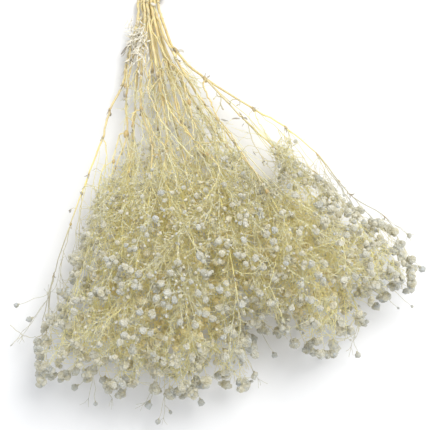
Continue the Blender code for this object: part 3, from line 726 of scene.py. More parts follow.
class Run:
    """A stretch of stem, twig or stalk: its points, and at each its radius and how much of a joint it is."""

    def __init__(self, start, radius, ash=0.0):
        self.points = []
        self.radii = []
        self.joints = []
        self.tint = chance.random()
        self.ash = ash
        self.add(start, radius)

    def add(self, point, radius, joint=0.0):
        """Adds a point, raised to lie on the surface where it would be in it."""
        self.points.append(Vector((point.x, point.y, max(point.z, radius))))
        self.radii.append(radius)
        self.joints.append(joint)


def stem_of(plan):
    """Points of the main stem: its cut end, a straight run through the tie, and its joints."""
    drop = TIE_HEIGHT - ROW_HEIGHT - STEM_RADIUS
    stagger = random.Random("spray_" + plan.name).uniform(0, CUT_STAGGER)
    end = Vector((plan.slot.x * CUT_SPREAD, CUT_Y - stagger, plan.slot.z - drop))
    held = Vector((0, TIE_RUN / 2, 0))
    x, _, z = plan.route[0]
    spread = placed(x * WAIST_SPREAD + WAIST_SHIFT, WAIST_Y, (z + plan.slot.z) / 2)
    return [end, plan.slot + held, plan.slot - held, spread] + [placed(*joint) for joint in plan.route]


class Spray:
    """A plan made real: its stems, and all that grows on them."""

    def __init__(self, plan):
        self.name = plan.name
        self.stems = [Stem(stem_of(plan), plain=3, share=chance.uniform(*STEM_SHARES))]
        self.stems += [Stem([placed(*joint) for joint in arm], share=ARM_SHARE) for arm in plan.arms]
        for height, first, last, way in TRACED.get(plan.name, ()):
            self.stems.append(Stem(self.traced(way, height), ends=(first, last)))
        self.clusters = []
        self.stem_runs = []
        self.twig_runs = []
        self.hair_runs = []
        self.florets = []
        self.buds = []
        self.knuckles = []
        self.leaves = []
        self.shreds = []

    def traced(self, way, height):
        """Points of a side stem, which leaves the stems so far where it is seen, and rises evenly."""
        root = nearest_stem(*way[0], [self])[0]
        reach = np.cumsum([math.dist(a, b) for a, b in zip(way, way[1:])])
        rise = (height - root.z) / reach[-1]
        return [root] + [placed(x, y, root.z + rise * far) for (x, y), far in zip(way[1:], reach)]

    def sides(self):
        """Every straight stretch of its stems, as two arrays of points."""
        pairs = [pair for stem in self.stems for pair in zip(stem.points, stem.points[1:])]
        return np.array([a for a, _ in pairs]), np.array([b for _, b in pairs])

    def joints(self):
        """Where side branches may leave: (place, direction of growth, whether the stem ends there)."""
        found = []
        for stem in self.stems:
            points = stem.points
            for index in range(stem.plain, len(points)):
                last = index == len(points) - 1
                ahead = points[index] if last else points[index + 1]
                if stem.serves() and points[index].y < -FIRST_KNUCKLE:
                    found.append((points[index], (ahead - points[index - 1]).normalized(), last))
        return found


def nearest_on(points, sides):
    """For each point, the nearest point of the straight stretches, and how far it is."""
    start, end = sides
    side = end - start
    reach = points[:, None, :] - start[None]
    share = np.clip((reach * side).sum(axis=2) / (side * side).sum(axis=1), 0, 1)
    apart = reach - side * share[:, :, None]
    far = np.linalg.norm(apart, axis=2)
    best = far.argmin(axis=1)
    row = np.arange(len(points))
    return points - apart[row, best], far[row, best]


def share_out(clusters, sprays):
    """Gives each cluster to the spray whose stem is nearest."""
    points = np.array([cluster.place for cluster in clusters])
    nearest = np.array([nearest_on(points, spray.sides())[1] for spray in sprays]).argmin(axis=0)
    for cluster, number in zip(clusters, nearest):
        sprays[number].clusters.append(cluster)


def halves(clusters, forward):
    """Splits clusters into two groups, across the direction in which they spread most seen along forward."""
    points = np.array([cluster.place for cluster in clusters])
    forward = np.array(forward)
    flat = points - points.mean(axis=0)
    flat -= (flat @ forward)[:, None] * forward
    across = np.linalg.svd(flat, full_matrices=False)[2][0]
    order = np.argsort(flat @ across, kind="stable")
    cut = len(clusters) // 2
    return [clusters[i] for i in order[:cut]], [clusters[i] for i in order[cut:]]


def twig_radius(start, clusters):
    """The radius of a twig from start that carries the clusters. Twigs far from the waist are finer."""
    stalks = sum(max(cluster.florets, 1) for cluster in clusters)
    thinning = np.interp(start.xy.length, *zip(*TWIG_THINNING))
    return max(HAIR_RADIUS, TWIG_RADIUS * stalks ** THICKENING * thinning)


def lean_out(direction, angle, turn):
    """The direction tipped by angle towards the side that turn gives."""
    side = Quaternion(direction, turn) @ direction.orthogonal().normalized()
    return (direction * math.cos(angle) + side * math.sin(angle)).normalized()


def any_turn():
    return chance.uniform(0, math.tau)


def any_tone():
    """How grey a floret is. Most are near to cream."""
    return chance.random() ** PALE_BIAS


def plan_heading(degrees, rises):
    """A direction with that heading in the plan, which rises or falls by chance."""
    turn = math.radians(degrees)
    return Vector((math.cos(turn), math.sin(turn), chance.uniform(*rises))).normalized()


def stretch(run, end, radius, joint=0.0):
    """Lengthens a run to end in a slight bow, with a swollen end if it is a joint."""
    start = run.points[-1]
    reach = end - start
    along = reach.normalized()
    bends = 1 + int(reach.length / BEND_LENGTH)
    for bend in range(bends):
        bowed = lean_out(along, math.pi / 2, any_turn()) * reach.length / bends * chance.uniform(0, BOW)
        run.add(start.lerp(end, (bend + 1) / (bends + 1)) + bowed, radius)
    if joint:
        run.add(end - along * radius * KNUCKLE_REACH, radius)
        run.add(end, radius * KNUCKLE_SWELL, joint)
    else:
        run.add(end, radius)


def branch(spray, run, direction, clusters):
    """Lengthens a twig to the first of the clusters, and grows the twigs that fork from it on the way."""
    start = run.points[-1]
    if len(clusters) == 1:
        stretch(run, clusters[0].place, twig_radius(start, clusters))
        spray.twig_runs.append(run)
        put_out(spray, clusters[0], (clusters[0].place - start).normalized())
        return
    aim = sum((cluster.place for cluster in clusters), Vector()) / len(clusters) - start
    nearest = min((cluster.place - start).length for cluster in clusters)
    heading = direction.lerp(aim.normalized(), 1 - HEADING_KEPT).normalized()
    reach = min(aim.length * FORK_SHARE, nearest * FORK_LIMIT)
    fork = start + heading * reach * chance.uniform(*FORK_SHIFTS)
    stalks = sum(cluster.florets for cluster in clusters)
    joint = chance.uniform(*FORK_JOINTS) if stalks > KNUCKLE_STALKS else 0.0
    stretch(run, fork, twig_radius(start, clusters), joint)
    straight, aside = halves(clusters, heading)
    branch(spray, run, heading, straight)
    branch(spray, Run(fork, twig_radius(fork, aside)), heading, aside)


def hair(spray, start, direction, length, bow=True):
    """A hair-thin stalk. Returns its end and the direction in which it ends."""
    run = Run(start, HAIR_RADIUS)
    end = start + direction * length
    if bow:
        stretch(run, end, HAIR_RADIUS)
    else:
        run.add(end, HAIR_RADIUS)
    spray.hair_runs.append(run)
    return end, (end - run.points[-2]).normalized()


def fits(place, radius):
    """Whether a floret there lies over the surface and inside the outline of the heads."""
    spot = seen_at(place)
    return place.z > radius and inset(spot)[0] > radius * 0.5 and clear_of_gaps(spot[0], radius)


def face_up(heading):
    """The heading of a floret, which turns up towards the light."""
    return (heading + Vector((0, 0, FACING_UP))).normalized()


def put_out(spray, cluster, heading):
    """The stalks and florets of a cluster, or its forked hairs."""
    if cluster.stray:
        tone = chance.uniform(*SINGLE_TONES)
        spray.florets.append((cluster.place, face_up(heading), cluster.radius, tone))
        return
    for _ in range(cluster.hairs):
        direction = lean_out(heading, chance.uniform(*STALK_LEANS), any_turn())
        hair(spray, cluster.place, direction, cluster.length * chance.uniform(*BARE_SHARES))
    first_turn = any_turn()
    for number in range(cluster.florets):
        radius = cluster.radius * chance.uniform(1 - SIZE_SPREAD, 1 + SIZE_SPREAD)
        for attempt in range(STALK_TRIES):
            aside = chance.uniform(-TURN_SPREAD, TURN_SPREAD) * (1 + attempt)
            turn = first_turn + math.tau * number / cluster.florets + aside
            direction = lean_out(heading, chance.uniform(*STALK_LEANS), turn)
            length = chance.uniform(*STALK_LENGTHS) * cluster.stalks * (1 - TRY_SHORTENING * attempt)
            if fits(cluster.place + direction * length, radius):
                end, tip = hair(spray, cluster.place, direction, length)
                spray.florets.append((end, face_up(tip), radius, any_tone()))
                break


def put_out_side_stems(spray):
    """Side stems that bend at every joint, where a hair leaves them."""
    near, far = SIDE_STEM_ZONE
    for run in list(spray.stem_runs):
        for place, end in zip(run.points, run.points[1:]):
            reach = end - place
            if not near < place.xy.length < far or chance.random() > reach.length / SIDE_STEM_STEP:
                continue
            heading = lean_out(reach.normalized(), chance.uniform(*SIDE_STEM_LEANS), any_turn())
            radius = chance.uniform(*SIDE_STEM_RADII)
            side = Run(place, radius)
            for _ in range(SIDE_STEM_JOINTS):
                place = place + heading * chance.uniform(*SIDE_STEM_STRETCH)
                if inset(seen_at(place))[0] < 1 or place.z < 2:
                    break
                side.add(place, radius, 0.25)
                radius *= SIDE_STEM_THINNING
                hair(spray, place, lean_out(heading, chance.uniform(*SIDE_LEANS), any_turn()),
                     chance.uniform(*SIDE_LENGTHS))
                heading = lean_out(heading, chance.uniform(*SIDE_STEM_BENDS), any_turn())
            if len(side.points) > 1:
                spray.twig_runs.append(side)


def put_out_side_hairs(spray):
    """Fine side branches along every twig, which fill the inside of the heads with a haze of straw."""
    for run in spray.stem_runs + spray.twig_runs:
        for start, end in zip(run.points, run.points[1:]):
            reach = end - start
            along = reach.normalized()
            for _ in range(int(reach.length / SIDE_STEP + chance.random())):
                root = start.lerp(end, chance.random())
                direction = lean_out(along, chance.uniform(*SIDE_LEANS), any_turn())
                length = chance.uniform(*SIDE_LENGTHS)
                spot = seen_at(root + direction * length)
                away = np.linalg.norm(spot[0])
                share = rising(away, SIDE_ZONE)
                least, most = SIDE_DEPTHS
                least += SIDE_SINKING * (1 - share) * eased(inset(spot)[0] / SINKING_BAND)
                least += PATCH_SINKING * in_patch(spot[0])
                if not least < cloud_limits(spot)[1][0] - root.z - direction.z * length < most:
                    share = share * SIDE_SHARE_OUTSIDE
                open_edge = FRINGE if away > FRINGE_ZONE else 1
                thinned = inset(spot)[0] < open_edge * chance.random() or chance.random() > share
                if thinned or root.z + direction.z * length < 1:
                    continue
                tip, heading = hair(spray, root, direction, length, bow=length > STRAIGHT_HAIR)
                if chance.random() < SIDE_FORKS:
                    fork = lean_out(heading, chance.uniform(*SIDE_LEANS), any_turn())
                    root = root.lerp(tip, chance.uniform(*FORK_PLACES))
                    hair(spray, root, fork, length * FORK_LENGTH, bow=False)
                if chance.random() < SIDE_BUDS:
                    radius = SIDE_BUD_RADIUS * chance.uniform(*BUD_SHARES)
                    spray.buds.append((tip, heading, radius, any_tone()))


def best_joint(place, joints):
    """The joint from which a branch leaves at the usual lean, without growing long."""
    def cost(number):
        at, growth, last = joints[number]
        reach = place - at
        lean = growth.angle(reach)
        easy = last and lean < TIP_LEAN_LIMIT
        wrong = lean * TIP_LEAN_SHARE if easy else abs(lean - BRANCH_LEAN)
        return math.degrees(wrong) + reach.length * LENGTH_COST

    return min((cost(number), number) for number in range(len(joints)))


def curve_through(points):
    """Points on a smooth curve through the joints: (place, nearness to a joint). Long stretches have more."""
    found = []
    for index in range(len(points) - 1):
        before = points[max(index - 1, 0)]
        here, there = points[index], points[index + 1]
        after = points[min(index + 2, len(points) - 1)]
        length = (there - here).length
        if length > LONG_STRETCH:
            near, next_to = NEAR_JOINT
            distances = (0, near, next_to, length * 0.3, length * 0.5, length * 0.7,
                         length - next_to, length - near)
        else:
            distances = (0, length * 0.25, length * 0.5, length * 0.75)
        for distance in distances:
            t = distance / length
            place = 0.5 * (
                2 * here + (there - before) * t + (2 * before - 5 * here + 4 * there - after) * t * t
                + (3 * here - before - 3 * there + after) * t * t * t
            )
            found.append((place, max(0.0, 1 - min(distance, length - distance) / JOINT_REACH)))
    found.append((points[-1], 1.0))
    return found


def grow_stem(spray, stem):
    """A stem that thins towards its tip, swollen at each joint past its plain points."""
    points, plain = stem.points, stem.plain
    run = Run(points[0], stem.radius(points[0], 0), stem.ash)
    for point in points[1:plain]:
        run.add(point, stem.radius(point, 0))
    smooth = curve_through(points[plain - 1:])[1:]
    for index, (place, near) in enumerate(smooth):
        thin = stem.radius(place, (index + 1) / len(smooth))
        knotty = near if place.xy.length > FIRST_KNUCKLE and not stem.ends else 0.0
        shake = Vector((chance.uniform(-1, 1), chance.uniform(-1, 1), chance.uniform(-1, 1))) * WOBBLE
        run.add(place + shake * (near < 1), thin * (1 + (JOINT_SWELL - 1) * near), knotty * 0.8)
        if knotty == 1 and index < len(smooth) - 1:
            along = (smooth[index + 1][0] - place).normalized()
            spray.knuckles.append((place, along, thin * chance.uniform(*KNUCKLE_SIZES)))
            for side in range(2):
                heading = lean_out(along, BRACT_LEAN, any_turn())
                root = place + heading * thin
                spray.leaves.append((root, heading, chance.uniform(*BRACT_LENGTHS), side, chance.random()))
    spray.stem_runs.append(run)


def grow(spray):
    """Grows everything on the stems of a spray."""
    for stem in spray.stems:
        grow_stem(spray, stem)
    joints = spray.joints()
    served = {}
    for cluster in spray.clusters:
        cost, number = best_joint(cluster.place, joints)
        if cluster.florets or cost < WORST_COST:
            served.setdefault(number, []).append(cluster)
    for number, clusters in sorted(served.items()):
        at, growth, _ = joints[number]
        groups = [clusters]
        while max(len(group) for group in groups) > GROUP_SIZE:
            split = [halves(group, growth) if len(group) > 1 else [group] for group in groups]
            groups = [half for pair in split for half in pair]
        for group in groups:
            branch(spray, Run(at, twig_radius(at, group)), growth, group)
    put_out_side_stems(spray)
    put_out_side_hairs(spray)


def hang_shreds(sprays):
    """The tangle of pale shreds at the left of the waist, over the stems there."""
    for _ in range(SHREDS):
        x, y = (chance.gauss(middle, spread) for middle, spread in zip(SHRED_MIDDLE, SHRED_SPREAD))
        root, spray = nearest_stem(x, y, sprays, ON_TOP)
        heading = plan_heading(chance.gauss(*SHRED_HEADING), SHRED_RISES)
        place = placed(x, y, root.z + chance.uniform(*SHRED_HEIGHTS))
        spray.shreds.append((place, heading, chance.uniform(*SHRED_LENGTHS)))


def nearest_stem(x, y, sprays, higher=0.02):
    """The place on a stem that is seen nearest to (x, y) of the plan, and its spray.

    A higher stem wins over one that is nearer by less than that share of the height between them.
    """
    best = None
    for spray in sprays:
        start, end = spray.sides()
        share = np.linspace(0, 1, 25)[:, None, None]
        points = (start + (end - start) * share).reshape(-1, 3)
        far = np.linalg.norm(seen_at(points) - np.array((x, y)), axis=1) - points[:, 2] * higher
        nearest = int(far.argmin())
        if best is None or far[nearest] < best[0]:
            best = far[nearest], Vector(points[nearest]), spray
    return best[1:]


def hang_leaf_scraps(sprays):
    """The shrivelled leaves near the waist, each on the stem over or under which it is seen."""
    for x, y, degrees, length, kind, tone in LEAF_SCRAPS:
        root, spray = nearest_stem(x, y, sprays, ON_TOP)
        place = placed(x, y, root.z + chance.uniform(*SCRAP_HEIGHTS))
        reach = place - root
        if reach.length > SCRAP_STALK:
            hair(spray, root, reach.normalized(), reach.length)
        spray.leaves.append((place, plan_heading(degrees, SCRAP_RISES), length, kind, tone))


def tie_knots(sprays):
    """The thick knots where stems fork."""
    for x, y, radius in KNOTS:
        place, spray = nearest_stem(x, y, sprays, ON_TOP)
        spray.knuckles.append((place, Vector((x, y - FAN_Y, 0)).normalized(), radius * KNOT_SHARE))


# Shapes

def bare_object(name, mesh):
    made = bpy.data.objects.new(name, mesh)
    bpy.context.scene.collection.objects.link(made)
    return made


def settle(made):
    """Puts an object's place, turn and size into its mesh."""
    made.data.transform(made.matrix_world)
    made.matrix_world = Matrix.Identity(4)


def mark(mesh, name, values):
    """Stores a number for every point of a mesh, for the finish to read."""
    attribute = mesh.attributes.get(name) or mesh.attributes.new(name, "FLOAT", "POINT")
    attribute.data.foreach_set("value", np.broadcast_to(np.float32(values), len(mesh.vertices)).copy())


def joined(name, parts):
    """Joins objects into one, which takes the name."""
    bpy.ops.object.select_all(action="DESELECT")
    for part in parts:
        part.select_set(True)
    bpy.context.view_layer.objects.active = parts[0]
    bpy.ops.object.join()
    piece = bpy.context.object
    piece.name = piece.data.name = name
    bpy.ops.object.select_all(action="DESELECT")
    return piece


def on_cup(name, ball, raised, height, sides, caps):
    """A ball of petals, stretched to its height, on a cup of dry sepals."""
    # How raised a point is: low points get the painted crease shade of the petal finish.
    mark(ball.data, "raised", raised)
    ball.data.transform(Matrix.Diagonal((1, 1, height, 1)))
    bpy.ops.mesh.primitive_cone_add(
        vertices=sides, radius1=0.14, radius2=0.62, depth=0.8, end_fill_type=caps,
        location=(0, 0, -0.62 * height - 0.3),
    )
    cup = bpy.context.object
    bpy.context.view_layer.update()
    settle(cup)
    for part in (ball, cup):
        for finish in (PETAL, SEPAL):
            part.data.materials.append(finish)
    for face in cup.data.polygons:
        face.material_index = 1
    # The cup gets half of the painted crease shade.
    mark(cup.data, "raised", 0.5)
    return joined(name, [ball, cup])


def floret_shape(name, height, seed):
    """A papery floret about 1 in radius: a ball of crumpled petals on its cup."""
    bpy.ops.mesh.primitive_ico_sphere_add(subdivisions=1, radius=0.86)
    ball = bpy.context.object
    bpy.ops.object.mode_set(mode="EDIT")
    bpy.ops.transform.vertex_random(offset=0.36, seed=seed)
    bpy.ops.mesh.inset(thickness=0.14, depth=0.24, use_individual=True)
    bpy.ops.transform.vertex_random(offset=0.13, seed=seed + 1)
    bpy.ops.object.mode_set(mode="OBJECT")
    far = np.array([vertex.co.length for vertex in ball.data.vertices])
    return on_cup(name, ball, (far - far.min()) / np.ptp(far), height, 5, "NGON")


def plain_floret_shape(name, height, seed):
    """A floret for the inside of the heads, with fewer petals."""
    bpy.ops.mesh.primitive_ico_sphere_add(subdivisions=1, radius=1.0)
    ball = bpy.context.object
    bpy.ops.object.mode_set(mode="EDIT")
    bpy.ops.transform.vertex_random(offset=0.3, seed=seed)
    bpy.ops.object.mode_set(mode="OBJECT")
    return on_cup(name, ball, 0.8, height, 4, "TRIFAN")


def knuckle_shape():
    """A rough swollen joint, about 1 in radius, longer along the stem."""
    bpy.ops.mesh.primitive_ico_sphere_add(subdivisions=2, radius=1.0)
    knuckle = bpy.context.object
    bpy.ops.object.mode_set(mode="EDIT")
    bpy.ops.transform.vertex_random(offset=0.34, seed=4)
    bpy.ops.transform.resize(value=(1, 1, 1.8))
    bpy.ops.object.mode_set(mode="OBJECT")
    knuckle.data.shade_smooth()
    knuckle.data.materials.append(STRAW)
    mark(knuckle.data, "joint", 0.5)
    mark(knuckle.data, "thick", 1.0)
    mark(knuckle.data, "ash", 0.0)
    knuckle.name = "knuckle"
    return knuckle


def leaf_shape(name, width, curl, twist):
    """A shrivelled lance-shaped leaf, 1 long from its root along +Z, folded along its middle."""
    bpy.ops.mesh.primitive_grid_add(x_subdivisions=2, y_subdivisions=7, size=1)
    leaf = bpy.context.object
    for vertex in leaf.data.vertices:
        along = vertex.co.y + 0.5
        across = vertex.co.x * 2
        half = width * (0.12 + math.sin(math.pi * along ** 0.8)) * 0.5
        turn = twist * along
        bend = curl * along
        side = across * half
        lift = abs(across) * half * 0.7
        x = side * math.cos(turn) - lift * math.sin(turn)
        y = side * math.sin(turn) + lift * math.cos(turn)
        reach = math.sin(bend) / curl
        fall = (1 - math.cos(bend)) / curl
        vertex.co = (x, y * math.cos(bend) - fall, reach + y * math.sin(bend))
    thicken = leaf.modifiers.new("thickness", "SOLIDIFY")
    thicken.thickness = 0.03
    thicken.offset = 0
    bpy.ops.object.modifier_apply(modifier=thicken.name)
    leaf.data.shade_smooth()
    leaf.data.materials.append(LEAF)
    leaf.name = name
    return leaf


def pointing(place, direction, size, turn):
    """A matrix that stands a shape of that size on a place, its own +Z along direction."""
    turned = direction.to_track_quat("Z", "Y").to_matrix().to_4x4()
    spin = Matrix.Rotation(turn, 4, "Z")
    scale = Matrix.Diagonal((size * MM, size * MM, size * MM, 1))
    return Matrix.Translation(in_frame(place)) @ turned @ spin @ scale


def above_floor(matrix, shape):
    """The matrix, raised where its shape would reach below the surface."""
    low = min((matrix @ vertex.co).z for vertex in shape.data.vertices)
    return Matrix.Translation((0, 0, max(0.0, -low))) @ matrix


def copied(shape, matrix, **marks):
    """A copy of a shape with its own mesh, put in its place."""
    mesh = shape.data.copy()
    mesh.transform(matrix)
    for name, value in marks.items():
        mark(mesh, name, value)
    return bare_object(shape.name, mesh)


def profile(sides):
    """The outline of a tube, 1 mm in radius."""
    curve = bpy.data.curves.new("profile", "CURVE")
    curve.dimensions = "2D"
    spline = curve.splines.new("POLY")
    spline.use_cyclic_u = True
    spline.points.add(sides - 1)
    for number, point in enumerate(spline.points):
        turn = math.tau * number / sides
        point.co = (MM * math.cos(turn), MM * math.sin(turn), 0, 1)
    return bare_object("profile", curve)


def new_curve(name):
    """A curve in space, whose tubes have closed ends."""
    curve = bpy.data.curves.new(name, "CURVE")
    curve.dimensions = "3D"
    curve.use_fill_caps = True
    return curve


def made_solid(name, curve, finish):
    """The mesh of a curve, smooth and in one finish. It is left selected."""
    drawn = bare_object(name, curve)
    drawn.select_set(True)
    bpy.context.view_layer.objects.active = drawn
    bpy.ops.object.convert(target="MESH")
    made = bpy.context.object
    made.data.shade_smooth()
    made.data.materials.clear()
    made.data.materials.append(finish)
    return made


def tubes(name, runs, sides):
    """The runs as closed tubes in one mesh, marked with what the straw finish reads."""
    curve = new_curve(name)
    outline = profile(sides)
    curve.bevel_mode = "OBJECT"
    curve.bevel_object = outline
    tree = KDTree(sum(len(run.points) for run in runs))
    points, radii, joints, tints, greys = [], [], [], [], []
    for run in runs:
        spline = curve.splines.new("POLY")
        spline.points.add(len(run.points) - 1)
        places = [in_frame(point) for point in run.points]
        spline.points.foreach_set("co", [value for place in places for value in (*place, 1)])
        spline.points.foreach_set("radius", run.radii)
        for number, place in enumerate(places, len(points)):
            tree.insert(place, number)
        points += run.points
        radii += run.radii
        joints += run.joints
        tints += [run.tint] * len(places)
        greys += [run.ash] * len(places)
    tree.balance()
    made = made_solid(name, curve, STRAW)
    bpy.data.objects.remove(outline)
    bpy.ops.object.mode_set(mode="EDIT")
    bpy.ops.mesh.select_all(action="SELECT")
    bpy.ops.mesh.remove_doubles(threshold=1e-6)
    bpy.ops.mesh.normals_make_consistent(inside=False)
    bpy.ops.object.mode_set(mode="OBJECT")
    made.select_set(False)
    nearest = [tree.find(vertex.co)[1] for vertex in made.data.vertices]
    seen = seen_at(points)
    away = np.linalg.norm(seen, axis=1)
    # Painted shade: straw near the outline and far from the waist is greyed.
    ash = near_outline(seen, SHADE_BAND) * rising(away, STRAW_SHADE_ZONE)
    mark(made.data, "joint", np.array(joints)[nearest])
    thin, thick = GOLDEN_RADII
    mark(made.data, "thick", np.clip((np.array(radii)[nearest] - thin) / (thick - thin), 0, 1))
    mark(made.data, "tint", np.array(tints)[nearest])
    mark(made.data, "ash", np.maximum(ash, greys)[nearest])
    # Painted golden glow: straw turns golden with its depth below the top of the cloud, far from the waist.
    depth = (cloud_limits(seen)[1] - np.array(points)[:, 2]) / COVERED
    mark(made.data, "deep", (eased(depth) * rising(away, PAINTED_GLOW_ZONE))[nearest])
    return made


# Finishes

def mottle_group():
    """Two colours in soft patches, with the height of a fine grain: used by every dried surface."""
    group = bpy.data.node_groups.new("dry_mottle", "ShaderNodeTree")
    for name, way, kind in (
        ("Colour A", "INPUT", "Color"), ("Colour B", "INPUT", "Color"), ("Patch Scale", "INPUT", "Float"),
        ("Grain Scale", "INPUT", "Float"), ("Colour", "OUTPUT", "Color"), ("Height", "OUTPUT", "Float"),
    ):
        group.interface.new_socket(name=name, in_out=way, socket_type="NodeSocket" + kind)
    given, result, where, patches, grain, spread, mix = (group.nodes.new(kind) for kind in (
        "NodeGroupInput", "NodeGroupOutput", "ShaderNodeTexCoord", "ShaderNodeTexNoise", "ShaderNodeTexNoise",
        "ShaderNodeMapRange", "ShaderNodeMix",
    ))
    patches.inputs["Detail"].default_value = 3.0
    grain.inputs["Detail"].default_value = 2.0
    spread.inputs["From Min"].default_value = 0.35
    spread.inputs["From Max"].default_value = 0.65
    mix.data_type = "RGBA"
    for source, output, target, entry in (
        (where, "Object", patches, "Vector"), (where, "Object", grain, "Vector"),
        (given, "Patch Scale", patches, "Scale"), (given, "Grain Scale", grain, "Scale"),
        (patches, "Fac", spread, "Value"), (spread, "Result", mix, "Factor"),
        (given, "Colour A", mix, "A"), (given, "Colour B", mix, "B"),
        (mix, "Result", result, "Colour"), (grain, "Fac", result, "Height"),
    ):
        group.links.new(source.outputs[output], target.inputs[entry])
    return group


class Surface:
    """A material while it is put together."""

    def __init__(self, name, roughness):
        self.finish = bpy.data.materials.new(name)
        self.finish.use_nodes = True
        self.nodes = self.finish.node_tree.nodes
        self.links = self.finish.node_tree.links
        self.inputs = self.nodes["Principled BSDF"].inputs
        self.inputs["Roughness"].default_value = roughness

    def glow(self, weight, radius):
        """Lets light in, as dry stems and petals do."""
        for name, value in (("Weight", weight), ("Radius", radius), ("Scale", GLOW_DEPTH)):
            self.inputs["Subsurface " + name].default_value = value

    def mottled(self, colour_a, colour_b, patch_scale, grain_scale):
        """The colour and the height of the mottle group, with its own colours and sizes."""
        mottle = self.nodes.new("ShaderNodeGroup")
        mottle.node_tree = MOTTLE
        for name, value in (
            ("Colour A", colour_a), ("Colour B", colour_b),
            ("Patch Scale", patch_scale), ("Grain Scale", grain_scale),
        ):
            mottle.inputs[name].default_value = value
        return mottle.outputs["Colour"], mottle.outputs["Height"]

    def blended(self, name, colour_a, colour_b):
        """A mix of two colours, each a socket or plain, by the number that points have under a name."""
        reader = self.nodes.new("ShaderNodeAttribute")
        reader.attribute_name = name
        mix = self.nodes.new("ShaderNodeMix")
        mix.data_type = "RGBA"
        self.links.new(reader.outputs["Fac"], mix.inputs["Factor"])
        for socket, colour in (("A", colour_a), ("B", colour_b)):
            if isinstance(colour, tuple):
                mix.inputs[socket].default_value = colour
            else:
                self.links.new(colour, mix.inputs[socket])
        return mix.outputs["Result"]

    def done(self, colour, height, strength, distance):
        """The material in that colour, with a bump of that height."""
        bump = self.nodes.new("ShaderNodeBump")
        bump.inputs["Strength"].default_value = strength
        bump.inputs["Distance"].default_value = distance
        self.links.new(colour, self.inputs["Base Color"])
        self.links.new(height, bump.inputs["Height"])
        self.links.new(bump.outputs["Normal"], self.inputs["Normal"])
        return self.finish


def straw_finish():
    """Dried stem: golden where thick, pale where thin, brown at the joints, with a painted golden glow deep
    in the heads and painted shade in grey at the fringe; thin side twigs are greyer.
    """
    straw = Surface("dried_straw", 0.55)
    straw.glow(0.8, (1.0, 0.9, 0.55))
    golden, grain = straw.mottled(GOLD_STRAW, ORANGE_STRAW, 240, 1500)
    pale, _ = straw.mottled(PALE_STRAW, OLIVE_STRAW, 120, 1500)
    tanned, _ = straw.mottled(GOLD_STRAW, TAN_STRAW, 160, 1500)
    body = straw.blended("thick", pale, straw.blended("tint", golden, tanned))
    # A painted golden glow deep in the heads, then painted shade in grey at the fringe, which also greys thin
    # side twigs.
    painted_light_mix = straw.blended("ash", straw.blended("deep", body, PAINTED_GLOW_STRAW), SHADE_AND_GREY_STRAW)
    return straw.done(straw.blended("joint", painted_light_mix, KNUCKLE_BROWN), grain, 0.4, 0.0003)


def petal_finish():
    """Papery petals: cream to grey-white from one floret to the next, with painted shade in the creases,
    painted grey shade at the fringe and a painted golden glow deep in the heads.
    """
    petal = Surface("papery_petals", 0.8)
    petal.glow(0.45, (1.0, 0.9, 0.7))
    cream, grain = petal.mottled(PETAL_CREAM, PETAL_WHITE, 500, 2600)
    grey, _ = petal.mottled(PETAL_GREY, PETAL_ASH, 500, 2600)
    petal_with_painted_glow = petal.blended("deep", petal.blended("tone", cream, grey), PETAL_PAINTED_GLOW)
    # Painted shade darkens the petals in their creases.
    return petal.done(petal.blended("raised", PETAL_CREASE_SHADE, petal_with_painted_glow), grain, 0.7, 0.0005)


def leaf_finish():
    """Shrivelled leaf: pale straw to ash grey from one leaf to the next, with rough patches."""
    leaf = Surface("shrivelled_leaf", 0.85)
    pale, grain = leaf.mottled(LEAF_PALE, LEAF_STRAW, 400, 1800)
    grey, _ = leaf.mottled(LEAF_GREY, LEAF_BROWN, 400, 1800)
    return leaf.done(leaf.blended("tone", pale, grey), grain, 0.6, 0.0004)


def plain_finish(name, roughness, mottle, bump):
    """A finish of a single mottle: dry sepals, or jute."""
    surface = Surface(name, roughness)
    return surface.done(*surface.mottled(*mottle), *bump)


MOTTLE = mottle_group()
STRAW = straw_finish()
PETAL = petal_finish()
SEPAL = plain_finish("dry_sepals", 0.7, (SEPAL_STRAW, SEPAL_PALE, 700, 2600), (0.4, 0.0002))
LEAF = leaf_finish()
TWINE = plain_finish("jute_twine", 0.9, (TWINE_LIGHT, TWINE_DARK, 900, 5000), (0.8, 0.0004))


# The sprays

def wear(piece, spray):
    """The piece stands for the spray's solid and moves with it."""
    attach(piece, "root")
    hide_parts("spray_" + spray.name)


def make_stems(spray, knuckle):
    parts = [
        tubes("main_stems", spray.stem_runs, 8),
        tubes("twigs", spray.twig_runs, 4),
        tubes("hairs", spray.hair_runs, 3),
    ]
    for place, along, radius in spray.knuckles:
        matrix = pointing(place, along, radius, any_turn())
        parts.append(copied(knuckle, matrix, tint=chance.random()))
    wear(joined("stems_" + spray.name, parts), spray)


